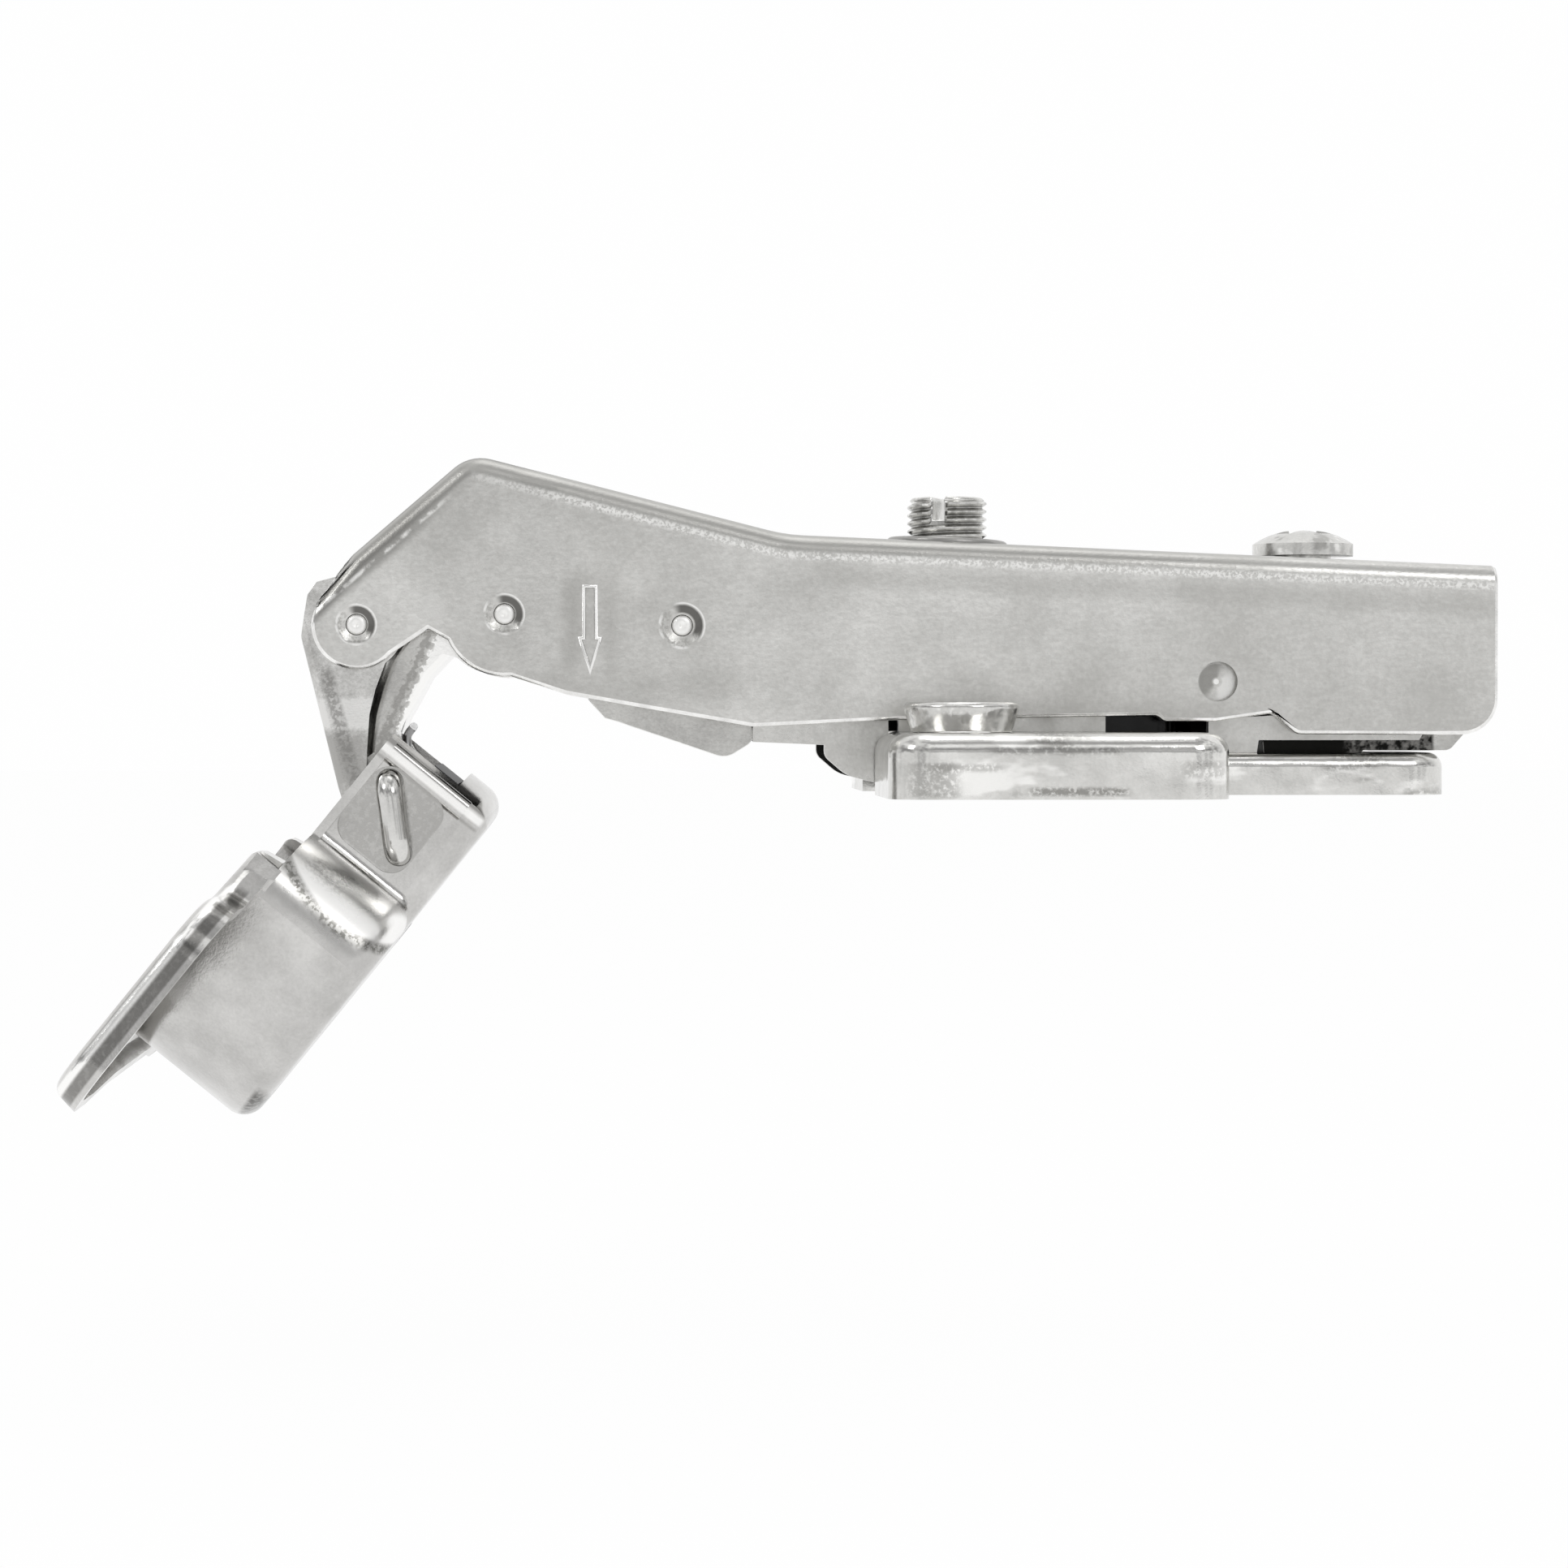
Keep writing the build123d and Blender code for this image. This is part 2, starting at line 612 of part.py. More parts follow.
# Closing spring: wound round the sleeve, one leg on the inner link's back
SPRING_WIRE = 0.36
SPRING_MEAN = 2.66
SPRING_HALF = INNER_HALF - INNER_T - SPRING_WIRE - 0.59
SPRING_TURNS = 7
with BuildPart() as closing_spring:
    coil_plane = Plane(
        origin=(PIVOT_1[0], SPRING_HALF, PIVOT_1[1]),
        x_dir=(math.cos(math.radians(62)), 0, math.sin(math.radians(62))),
        z_dir=(0, -1, 0),
    )
    coil = Helix(2 * SPRING_HALF / SPRING_TURNS, 2 * SPRING_HALF, SPRING_MEAN).moved(coil_plane.location)
    with BuildSketch(Plane(origin=coil @ 0, z_dir=coil % 0)):
        Circle(SPRING_WIRE, mode=Mode.ADD)
    sweep(path=coil, is_frenet=True)
    tip_start = coil @ 1
    with BuildLine(Plane(origin=(0, tip_start.Y, 0), x_dir=(1, 0, 0), z_dir=(0, -1, 0))) as near_leg:
        Spline(
            (tip_start.X, tip_start.Z),
            (-45.25, 4.35),
            (-45.22, 4.95),
            (-44.72, 5.66),
            tangents=((-0.5, 1.0), (0.7, 0.75)),
        )
    with BuildSketch(Plane(origin=near_leg.line @ 0, z_dir=near_leg.line % 0)):
        Circle(SPRING_WIRE)
    sweep(path=near_leg.line)
closing_spring.part.label = "closing_spring"
export_step(closing_spring.part, "parts/closing_spring.step")

with BuildPart() as spring_carrier:
    # dark block between the cheeks that carries the spring's far leg
    with BuildSketch(cup_side) as carrier_side:
        with BuildLine():
            Polyline(
                (-0.05, 4.3),
                (1.2, 3.9),
                (4.2, 6.3),
                (4.0, 9.0),
                (1.6, CUP_DEEP - CUP_T - 0.45),
                (1.6, 7.0),
                (-0.05, 6.7),
                close=True,
            )
        make_face()
        with Locations(CUP_PIN_1):
            Circle(3.3, mode=Mode.SUBTRACT)
        with Locations(CUP_PIN_2):
            Circle(3.1, mode=Mode.SUBTRACT)
    extrude(amount=CHEEK_HALF - CUP_T - 0.04, both=True)
spring_carrier.part.label = "spring_carrier"
export_step(spring_carrier.part, "parts/spring_carrier.step")

# Damper inside the arm
ROCKER_HALF = BRACKET_HALF - BRACKET_T - 0.25
DAMPER_AXIS_Z = 16.95
DAMPER_R = 2.6
ROD_TIP_X = -22.6
with BuildPart() as damper_rocker:
    with BuildSketch(side) as rocker_profile:
        with BuildLine():
            Polyline(
                (-30.1, 7.95),
                (-28.7, 6.35),
                (-27.6, 6.05),
                (-18.6, 3.0),
                (-16.0, 4.6),
                (-18.3, 10.5),
                (-20.3, 14.0),
                (-21.2, 18.5),
                (-24.0, 18.5),
                (-24.9, 14.0),
                (-27.0, 10.6),
                (-29.9, 9.0),
                close=True,
            )
        make_face()
        with Locations(PIVOT_C):
            Circle(2.9)
        for spot, radius in (
            ((-18.6, 3.0), 1.8),
            ((-16.0, 4.6), 1.2),
            ((-21.2, 18.5), 1.2),
            ((-24.0, 18.5), 1.2),
            ((-29.9, 9.0), 0.5),
        ):
            fillet(rocker_profile.vertices().sort_by_distance(spot)[0], radius)
    extrude(amount=ROCKER_HALF, both=True)
    with BuildSketch(side):
        with BuildLine():
            Polyline(
                (-34, 9.4),
                (-28.6, 7.7),
                (-18.9, 4.45),
                (-17.0, 5.0),
                (-14, 4.0),
                (-14, 22),
                (-34, 22),
                close=True,
            )
        make_face()
    extrude(amount=ROCKER_HALF - 1.2, both=True, mode=Mode.SUBTRACT)
    with BuildSketch(side):
        with Locations(PIVOT_C):
            Circle(PIN_R + RUN)
    extrude(amount=20, both=True, mode=Mode.SUBTRACT)
    # cross bar that draws the piston rod
    with BuildSketch(side):
        with Locations((ROD_TIP_X, DAMPER_AXIS_Z)):
            Circle(0.8)
    extrude(amount=ROCKER_HALF - 0.4, both=True)
damper_rocker.part.label = "damper_rocker"
export_step(damper_rocker.part, "parts/damper_rocker.step")

CYL_FRONT = -18.6
CYL_REAR = -7.7
with BuildPart() as damper_cylinder:
    with BuildSketch(Plane.YZ.offset(CYL_FRONT)):
        with Locations((0, DAMPER_AXIS_Z)):
            Circle(DAMPER_R)
    extrude(amount=CYL_REAR - CYL_FRONT)
    fillet(damper_cylinder.edges().filter_by(GeomType.CIRCLE), 0.4)
    with BuildSketch(Plane.YZ.offset(CYL_FRONT)):
        with Locations((0, DAMPER_AXIS_Z)):
            Circle(0.8 + RUN)
    extrude(amount=0.8, mode=Mode.SUBTRACT)
    with BuildSketch(Plane.YZ.offset(CYL_FRONT + 0.8)):
        with Locations((0, DAMPER_AXIS_Z)):
            Circle(1.95)
    extrude(amount=9.3, mode=Mode.SUBTRACT)
damper_cylinder.part.label = "damper_cylinder"
export_step(damper_cylinder.part, "parts/damper_cylinder.step")

with BuildPart() as damper_rod:
    with BuildSketch(Plane.YZ.offset(ROD_TIP_X + 1.75)):
        with Locations((0, DAMPER_AXIS_Z)):
            Circle(0.8)
    extrude(amount=CYL_FRONT + 6.5 - ROD_TIP_X - 1.75)
    # piston
    with BuildSketch(Plane.YZ.offset(CYL_FRONT + 5.0)):
        with Locations((0, DAMPER_AXIS_Z)):
            Circle(1.9)
    extrude(amount=2.6)
    # hook of the rod round the rocker's bar
    with BuildSketch(side):
        with Locations((ROD_TIP_X + 0.2, DAMPER_AXIS_Z + 0.15)):
            RectangleRounded(3.7, 2.9, 0.9)
        with Locations((ROD_TIP_X, DAMPER_AXIS_Z - 0.35)):
            SlotCenterToCenter(1.3, 1.6 + 0.2, rotation=90, mode=Mode.SUBTRACT)
    extrude(amount=1.5, both=True)
damper_rod.part.label = "damper_rod"
export_step(damper_rod.part, "parts/damper_rod.step")

with BuildPart() as damper_holder:
    # saddle under the roof that grips the cylinder
    with BuildSketch(Plane.YZ.offset(-16.0)) as saddle:
        with BuildLine():
            Polyline(
                (-4.3, 14.6),
                (4.3, 14.6),
                (ARM_HALF - ARM_T, 15.6),
                (ARM_HALF - ARM_T, 21.2),
                (-ARM_HALF + ARM_T, 21.2),
                (-ARM_HALF + ARM_T, 15.6),
                close=True,
            )
        make_face()
        with Locations((0, DAMPER_AXIS_Z)):
            Circle(DAMPER_R, mode=Mode.SUBTRACT)
        with Locations((0, 14.0)):
            Rectangle(3.4, 2.4, mode=Mode.SUBTRACT)
    extrude(amount=7.6)
    with BuildSketch(side):
        with BuildLine():
            Polyline(
                (-17, KINK[1] - ROOF_T + 0.55),
                (KINK[0] - 0.2, KINK[1] - ROOF_T - 0.28),
                (-8, KINK[1] - ROOF_T - 0.3),
                (-8, 14),
                (-17, 14),
                close=True,
            )
        make_face()
    extrude(amount=12, both=True, mode=Mode.INTERSECT)
damper_holder.part.label = "damper_holder"
export_step(damper_holder.part, "parts/damper_holder.step")

# Mounting plate
PANEL_SCREW_ACROSS = 16.0
PLATE_TOP = 5.23
TAIL_TOP = 3.5
PLATE_HALF = 24.0
WING_FRONT = -6.3
WING_REAR = 20.75
TAIL_REAR = 41.5
TAIL_HALF = ARM_HALF
RIB_TOP = 8.4                    # top of the raised rib inside the bracket
RIB_HALF = 4.6
with BuildPart() as mounting_plate:
    with BuildSketch(Plane.XY) as wing_outline:
        with Locations(((WING_FRONT + WING_REAR) / 2, 0)):
            RectangleRounded(WING_REAR - WING_FRONT, 2 * PLATE_HALF, 3.2)
        with Locations((-8.0, 0)):
            Rectangle(6.0, 2 * BRACKET_HALF + 1.2, mode=Mode.SUBTRACT)
    extrude(amount=PLATE_TOP)
    fillet(mounting_plate.faces().sort_by(Axis.Z)[-1].outer_wire().edges(), 1.6)
    with BuildSketch(Plane.XY) as tail_outline:
        with BuildLine():
            Polyline(
                (16, -TAIL_HALF),
                (WING_REAR - 0.4, -TAIL_HALF - 1.4),
                (WING_REAR + 1.4, -TAIL_HALF),
                (TAIL_REAR, -TAIL_HALF),
                (TAIL_REAR, TAIL_HALF),
                (WING_REAR + 1.4, TAIL_HALF),
                (WING_REAR - 0.4, TAIL_HALF + 1.4),
                (16, TAIL_HALF),
                close=True,
            )
        make_face()
        for way in (-1, 1):
            fillet(tail_outline.vertices().sort_by_distance((TAIL_REAR, way * TAIL_HALF))[0], 3.5)
            fillet(tail_outline.vertices().sort_by_distance((WING_REAR + 1.4, way * TAIL_HALF))[0], 1.8)
    extrude(amount=TAIL_TOP)
    fillet(
        mounting_plate.edges().filter_by(lambda e: abs(e.center().Z - TAIL_TOP) < 0.01 and e.center().X > 21.2),
        1.2,
    )
    # hollow underside
    with BuildSketch(Plane.XY) as under_wings:
        with Locations(((WING_FRONT + WING_REAR) / 2, 0)):
            RectangleRounded(WING_REAR - WING_FRONT - 2 * PLATE_T, 2 * (PLATE_HALF - PLATE_T), 1.6)
        with Locations((-8.0, 0)):
            Rectangle(6.0 + 2 * PLATE_T, 2 * (BRACKET_HALF + 0.6 + PLATE_T), mode=Mode.SUBTRACT)
    extrude(amount=PLATE_TOP - PLATE_T, mode=Mode.SUBTRACT)
    with BuildSketch(Plane.XY):
        with Locations(((TAIL_REAR - PLATE_T + 12.2) / 2, 0)):
            Rectangle(TAIL_REAR - PLATE_T - 12.2, 2 * (TAIL_HALF - PLATE_T))
    extrude(amount=TAIL_TOP - PLATE_T, mode=Mode.SUBTRACT)
    # raised rib that the bracket straddles
    with BuildSketch(Plane.XY.offset(PLATE_TOP - 0.2)):
        with Locations((9.0, 0)):
            RectangleRounded(21.0, 2 * RIB_HALF, 2.0)
    extrude(amount=RIB_TOP - PLATE_TOP + 0.2)
    fillet(mounting_plate.faces().sort_by(Axis.Z)[-1].edges(), 0.8)
    with BuildSketch(Plane.XY):
        with Locations((9.0, 0)):
            RectangleRounded(21.0 - 2 * PLATE_T, 2 * (RIB_HALF - PLATE_T), 0.8)
    extrude(amount=RIB_TOP - PLATE_T, mode=Mode.SUBTRACT)
    # pad pressed down to the panel between the two screws
    with BuildSketch(Plane.XY):
        Circle(3.2)
    extrude(amount=RIB_TOP - PLATE_T)
    # open front for the bracket's hooks
    with BuildSketch(Plane.XY):
        with Locations((-5.6, 0)):
            Rectangle(4.2, 2 * BRACKET_HALF + 1.2)
    extrude(amount=PLATE_TOP - PLATE_T, mode=Mode.SUBTRACT)
    # window that the latch grips
    with BuildSketch(Plane.XY):
        with Locations((31.0, 0)):
            RectangleRounded(9.2, 9.6, 0.8)
    extrude(amount=8, mode=Mode.SUBTRACT)
    # slots of the panel screws, for setting the height
    with BuildSketch(Plane.XY):
        for way in (-1, 1):
            with Locations((0, way * PANEL_SCREW_ACROSS)):
                SlotCenterToCenter(3.6, 5.2, rotation=90)
    extrude(amount=8, mode=Mode.SUBTRACT)
mounting_plate.part.label = "mounting_plate"
export_step(mounting_plate.part, "parts/mounting_plate.step")

with BuildPart() as plate_screws:
    for way in (-1, 1):
        with BuildSketch(Plane.XZ.offset(-way * PANEL_SCREW_ACROSS)) as screw_half:
            with BuildLine():
                Polyline(
                    (0, 0.3),
                    (2.0, 0.3),
                    (2.3, 0.8),
                    (2.3, PLATE_TOP + 0.01),
                    (4.05, PLATE_TOP + 0.01),
                    (4.65, PLATE_TOP + 1.9),
                    (4.65, PLATE_TOP + 2.45),
                    (0, PLATE_TOP + 2.45),
                    close=True,
                )
            make_face()
            fillet(screw_half.vertices().sort_by_distance((4.65, PLATE_TOP + 2.45))[0], 0.45)
        revolve(axis=Axis((0, way * PANEL_SCREW_ACROSS, 0), (0, 0, 1)))
        with BuildSketch(Plane.XY.offset(PLATE_TOP + 0.75)):
            with Locations(Location((0, way * PANEL_SCREW_ACROSS, 0), (0, 0, 25))):
                Rectangle(5.2, 1.3)
                Rectangle(1.3, 5.2)
        extrude(amount=4, taper=-6, mode=Mode.SUBTRACT)
plate_screws.part.label = "plate_screws"
export_step(plate_screws.part, "parts/plate_screws.step")

# Bracket between plate and arm
BRACKET_TOP = 17.10
BRACKET_ROOF_T = 1.3
SLIDE_T = 0.85                   # slide plate
with BuildPart() as base_bracket:
    with BuildSketch(side) as bracket_profile:
        with BuildLine():
            Polyline(
                (-16.4, 5.6),
                (-16.4, 4.4),
                (-10.45, 4.15),
                (-10.45, 3.2),
                (-8.6, 1.6),
                (-6.0, 0.95),
                (-3.7, 0.95),
                (-3.7, 3.35),
                (-5.15, 3.4),
                (-5.15, 6.2),
                (-4.3, 6.2),
                (-4.3, PLATE_TOP + 0.01),
                (12.95, PLATE_TOP + 0.01),
                (12.95, 8.2),
                (21.55, 8.2),
                (21.55, TAIL_TOP + 0.01),
                (25.6, TAIL_TOP + 0.01),
                (25.75, 4.55),
                (39.2, 4.55),
                (39.9, 5.6),
                (40.0, BRACKET_TOP),
                (-5.3, BRACKET_TOP),
                (-5.3, 13.2),
                (-9.0, 11.0),
                (-14.5, 8.6),
                close=True,
            )
        make_face()
        for spot, radius in (
            ((-8.6, 1.6), 3.0),
            ((-10.45, 3.2), 1.0),
            ((21.55, 8.2), 0.6),
            ((12.95, 8.2), 0.6),
            ((40.0, BRACKET_TOP), 2.0),
            ((-9.0, 11.0), 2.0),
        ):
            fillet(bracket_profile.vertices().sort_by_distance(spot)[0], radius)
    extrude(amount=BRACKET_HALF, both=True)
    fillet(
        base_bracket.edges().filter_by(
            lambda e: abs(abs(e.center().Y) - BRACKET_HALF) < 0.01 and abs(e.center().Z - BRACKET_TOP) < 0.02
        ),
        1.0,
    )
    with BuildSketch(side):
        with BuildLine():
            Polyline(
                (-20, 0),
                (44, 0),
                (44, BRACKET_TOP - BRACKET_ROOF_T),
                (-5.3, BRACKET_TOP - BRACKET_ROOF_T),
                (-8, 20),
                (-20, 20),
                close=True,
            )
        make_face()
    extrude(amount=BRACKET_HALF - BRACKET_T, both=True, mode=Mode.SUBTRACT)
    # slot of the side screw's foot and thread of the depth screw
    with BuildSketch(Plane.XY.offset(BRACKET_TOP - 3)):
        with Locations((SIDE_SCREW_X, 0)):
            SlotCenterToCenter(2 * DEPTH_TRAVEL + 0.2, 4.3)
        with Locations((DEPTH_SCREW_X, 0)):
            Circle(DEPTH_SHANK_R)
    extrude(amount=6, mode=Mode.SUBTRACT)
    # holes of the latch pin and slots of the arm's guide bosses
    with BuildSketch(side):
        with Locations((27.6, 9.7)):
            Circle(1.4)
        with Locations(DIMPLE_D):
            SlotCenterToCenter(2 * DEPTH_TRAVEL, 2 * (GUIDE_R + RUN))
    extrude(amount=20, both=True, mode=Mode.SUBTRACT)
base_bracket.part.label = "base_bracket"
export_step(base_bracket.part, "parts/base_bracket.step")

with BuildPart() as slide_plate:
    # carries the side screw and slides for the depth setting
    with BuildSketch(Plane.XY.offset(BRACKET_TOP + 0.05)):
        with Locations((13.6, 0)):
            Rectangle(37.8, 11.0)
        with Locations((SIDE_SCREW_X, 0)):
            Circle(1.5 + RUN, mode=Mode.SUBTRACT)
        with Locations((DEPTH_SCREW_X + 3, 0)):
            SlotCenterToCenter(2 * DEPTH_TRAVEL + 6.4, 2 * DEPTH_SHANK_R + 0.4, mode=Mode.SUBTRACT)
        with Locations((13.5, 0)):
            SlotCenterToCenter(9.0, 5.2, mode=Mode.SUBTRACT)
    extrude(amount=SLIDE_T)
slide_plate.part.label = "slide_plate"
export_step(slide_plate.part, "parts/slide_plate.step")

with BuildPart() as side_screw:
    # slotted grub screw with a captive foot; its fine thread is drawn in the visual
    with BuildSketch(Plane.XZ) as grub_half:
        with BuildLine():
            Polyline(
                (SIDE_SCREW_X, BRACKET_TOP - 1.15),
                (SIDE_SCREW_X + 2.0, BRACKET_TOP - 1.15),
                (SIDE_SCREW_X + 2.0, BRACKET_TOP),
                (SIDE_SCREW_X + 1.5, BRACKET_TOP),
                (SIDE_SCREW_X + 1.5, BRACKET_TOP + SLIDE_T + 0.12),
                (SIDE_SCREW_X + SIDE_SCREW_R - 0.5, BRACKET_TOP + SLIDE_T + 0.12),
                (SIDE_SCREW_X + SIDE_SCREW_R, BRACKET_TOP + SLIDE_T + 0.65),
                (SIDE_SCREW_X + SIDE_SCREW_R, 24.6),
                (SIDE_SCREW_X + SIDE_SCREW_R - 0.45, 25.05),
                (SIDE_SCREW_X, 25.05),
                close=True,
            )
        make_face()
    revolve(axis=Axis((SIDE_SCREW_X, 0, 0), (0, 0, 1)))
    with BuildSketch(Plane.XY.offset(25.05 - 2.0)):
        with Locations(Location((SIDE_SCREW_X, 0, 0), (0, 0, 70))):
            Rectangle(9.0, 1.15)
    extrude(amount=4, mode=Mode.SUBTRACT)
side_screw.part.label = "side_screw"
export_step(side_screw.part, "parts/side_screw.step")

HEAD_BASE = ROOF_AT_DEPTH + 0.42
with BuildPart() as depth_screw:
    with BuildSketch(Plane.XZ) as pan_half:
        with BuildLine():
            Line((DEPTH_SCREW_X, 14.4), (DEPTH_SCREW_X + 1.9, 14.4))
            Line((DEPTH_SCREW_X + 1.9, 14.4), (DEPTH_SCREW_X + DEPTH_SHANK_R - 0.02, 15.0))
            Line((DEPTH_SCREW_X + DEPTH_SHANK_R - 0.02, 15.0), (DEPTH_SCREW_X + DEPTH_SHANK_R - 0.02, HEAD_BASE))
            Line((DEPTH_SCREW_X + DEPTH_SHANK_R - 0.02, HEAD_BASE), (DEPTH_SCREW_X + 4.25, HEAD_BASE))
            Line((DEPTH_SCREW_X + 4.25, HEAD_BASE), (DEPTH_SCREW_X + 4.25, HEAD_BASE + 1.0))
            ThreePointArc(
                (DEPTH_SCREW_X + 4.25, HEAD_BASE + 1.0),
                (DEPTH_SCREW_X + 2.5, HEAD_BASE + 1.88),
                (DEPTH_SCREW_X, HEAD_BASE + 2.2),
            )
            Line((DEPTH_SCREW_X, HEAD_BASE + 2.2), (DEPTH_SCREW_X, 14.4))
        make_face()
    revolve(axis=Axis((DEPTH_SCREW_X, 0, 0), (0, 0, 1)))
    with BuildSketch(Plane.XY.offset(HEAD_BASE + 0.4)):
        with Locations(Location((DEPTH_SCREW_X, 0, 0), (0, 0, 38))):
            Rectangle(4.6, 1.15)
            Rectangle(1.15, 4.6)
    extrude(amount=4, taper=-8, mode=Mode.SUBTRACT)
depth_screw.part.label = "depth_screw"
export_step(depth_screw.part, "parts/depth_screw.step")

# Latch under the arm's rear
LATCH = (27.6, 9.7)
LATCH_HALF = 4.3
with BuildPart() as latch_pin:
    with BuildSketch(side):
        with Locations(LATCH):
            Circle(1.4)
    extrude(amount=BRACKET_HALF - 0.05, both=True)
latch_pin.part.label = "latch_pin"
export_step(latch_pin.part, "parts/latch_pin.step")

with BuildPart() as release_lever:
    with BuildSketch(side) as lever_profile:
        with BuildLine():
            Polyline(
                (25.1, 0.7),
                (28.1, 0.7),
                (29.2, 2.3),
                (34.2, 2.3),
                (35.0, 3.66),
                (42.3, 3.66),
                (44.0, 5.6),
                (44.0, 8.4),
                (42.6, 8.4),
                (41.2, 7.0),
                (37.4, 9.3),
                (33.6, 9.3),
                (30.0, 11.0),
                (26.0, 10.6),
                (26.75, 1.66),
                (25.1, 1.66),
                close=True,
            )
        make_face()
        with Locations(LATCH):
            Circle(2.7)
            Circle(1.4 + RUN, mode=Mode.SUBTRACT)
        for spot, radius in (((42.3, 3.66), 0.9), ((44.0, 8.4), 0.5)):
            fillet(lever_profile.vertices().sort_by_distance(spot)[0], radius)
    extrude(amount=LATCH_HALF, both=True)
    # room between the lever's side walls
    with BuildSketch(Plane.XY.offset(3.0)):
        with Locations((35.6, 0)):
            Rectangle(9.2, 2 * LATCH_HALF - 2.2)
    extrude(amount=5.0, mode=Mode.SUBTRACT)
release_lever.part.label = "release_lever"
export_step(release_lever.part, "parts/release_lever.step")

LATCH_SPRING = (35.5, 9.32, BRACKET_TOP - BRACKET_ROOF_T - 0.02)
with BuildPart() as latch_spring:
    spring_tall = LATCH_SPRING[2] - LATCH_SPRING[1] - 0.6
    latch_coil = Helix(spring_tall / 6, spring_tall, 1.7).moved(
        Location((LATCH_SPRING[0], 0, LATCH_SPRING[1] + 0.3))
    )
    with BuildSketch(Plane(origin=latch_coil @ 0, z_dir=latch_coil % 0)):
        Circle(0.28)
    sweep(path=latch_coil, is_frenet=True)
latch_spring.part.label = "latch_spring"
export_step(latch_spring.part, "parts/latch_spring.step")
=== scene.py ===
import json
import math

import bmesh
import bpy
import numpy as np
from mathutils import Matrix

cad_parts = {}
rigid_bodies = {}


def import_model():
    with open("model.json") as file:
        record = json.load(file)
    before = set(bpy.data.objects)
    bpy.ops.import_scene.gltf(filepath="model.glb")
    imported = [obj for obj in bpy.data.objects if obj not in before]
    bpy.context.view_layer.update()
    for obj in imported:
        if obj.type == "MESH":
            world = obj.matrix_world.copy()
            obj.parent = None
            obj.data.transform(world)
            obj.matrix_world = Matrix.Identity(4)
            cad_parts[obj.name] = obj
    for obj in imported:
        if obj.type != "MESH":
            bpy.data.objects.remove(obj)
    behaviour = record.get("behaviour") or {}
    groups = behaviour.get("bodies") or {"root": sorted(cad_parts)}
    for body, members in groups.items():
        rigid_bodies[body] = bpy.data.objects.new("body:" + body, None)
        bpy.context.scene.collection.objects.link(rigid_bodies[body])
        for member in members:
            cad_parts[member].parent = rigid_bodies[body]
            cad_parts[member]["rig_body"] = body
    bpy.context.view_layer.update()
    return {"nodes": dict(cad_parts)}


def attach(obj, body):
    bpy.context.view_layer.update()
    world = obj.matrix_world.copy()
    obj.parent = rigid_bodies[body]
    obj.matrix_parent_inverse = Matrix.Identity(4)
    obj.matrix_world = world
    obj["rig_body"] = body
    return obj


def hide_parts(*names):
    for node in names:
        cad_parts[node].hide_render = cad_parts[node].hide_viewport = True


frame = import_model()
nodes = frame["nodes"]
MM = 0.001

# Studio: a pale floor well below the hinge, a soft white room and soft lamps. The room is
# white behind the hinge and uneven on the camera's side, so that polished sheet picks up
# bright and dark patches while the satin flanges stay an even silver grey.
FLOOR_Z = -46 * MM
floor_mesh = bpy.data.meshes.new("studio_floor")
floor_corners = [(-3, -3, FLOOR_Z), (3, -3, FLOOR_Z), (3, 3, FLOOR_Z), (-3, 3, FLOOR_Z)]
floor_mesh.from_pydata(floor_corners, [], [(0, 1, 2, 3)])
studio_floor = bpy.data.objects.new("studio_floor", floor_mesh)
bpy.context.scene.collection.objects.link(studio_floor)

floor_paint = bpy.data.materials.new("floor_paint")
floor_paint.use_nodes = True
tree = floor_paint.node_tree
tree.nodes.clear()
out = tree.nodes.new("ShaderNodeOutputMaterial")
matt = tree.nodes.new("ShaderNodeBsdfDiffuse")
matt.inputs["Color"].default_value = (0.88, 0.88, 0.88, 1)
glow = tree.nodes.new("ShaderNodeEmission")
glow.inputs["Color"].default_value = (1, 1, 1, 1)
glow.inputs["Strength"].default_value = 1.0
path = tree.nodes.new("ShaderNodeLightPath")
either = tree.nodes.new("ShaderNodeMath")
either.operation = "MAXIMUM"
seen = tree.nodes.new("ShaderNodeMath")
seen.operation = "MULTIPLY"
seen.inputs[1].default_value = 0.96
blend = tree.nodes.new("ShaderNodeMixShader")
tree.links.new(path.outputs["Is Camera Ray"], either.inputs[0])
mirrored = tree.nodes.new("ShaderNodeMath")
mirrored.operation = "MULTIPLY"
mirrored.inputs[1].default_value = 0.9
tree.links.new(path.outputs["Is Glossy Ray"], mirrored.inputs[0])
tree.links.new(mirrored.outputs[0], either.inputs[1])
tree.links.new(either.outputs[0], seen.inputs[0])
tree.links.new(seen.outputs[0], blend.inputs["Fac"])
tree.links.new(matt.outputs[0], blend.inputs[1])
tree.links.new(glow.outputs[0], blend.inputs[2])
tree.links.new(blend.outputs[0], out.inputs["Surface"])
floor_mesh.materials.append(floor_paint)

room = bpy.data.worlds.new("soft_room")
bpy.context.scene.world = room
room.use_nodes = True
tree = room.node_tree
tree.nodes.clear()
out = tree.nodes.new("ShaderNodeOutputWorld")
path = tree.nodes.new("ShaderNodeLightPath")
coord = tree.nodes.new("ShaderNodeTexCoord")
split = tree.nodes.new("ShaderNodeSeparateXYZ")
tree.links.new(coord.outputs["Generated"], split.inputs[0])
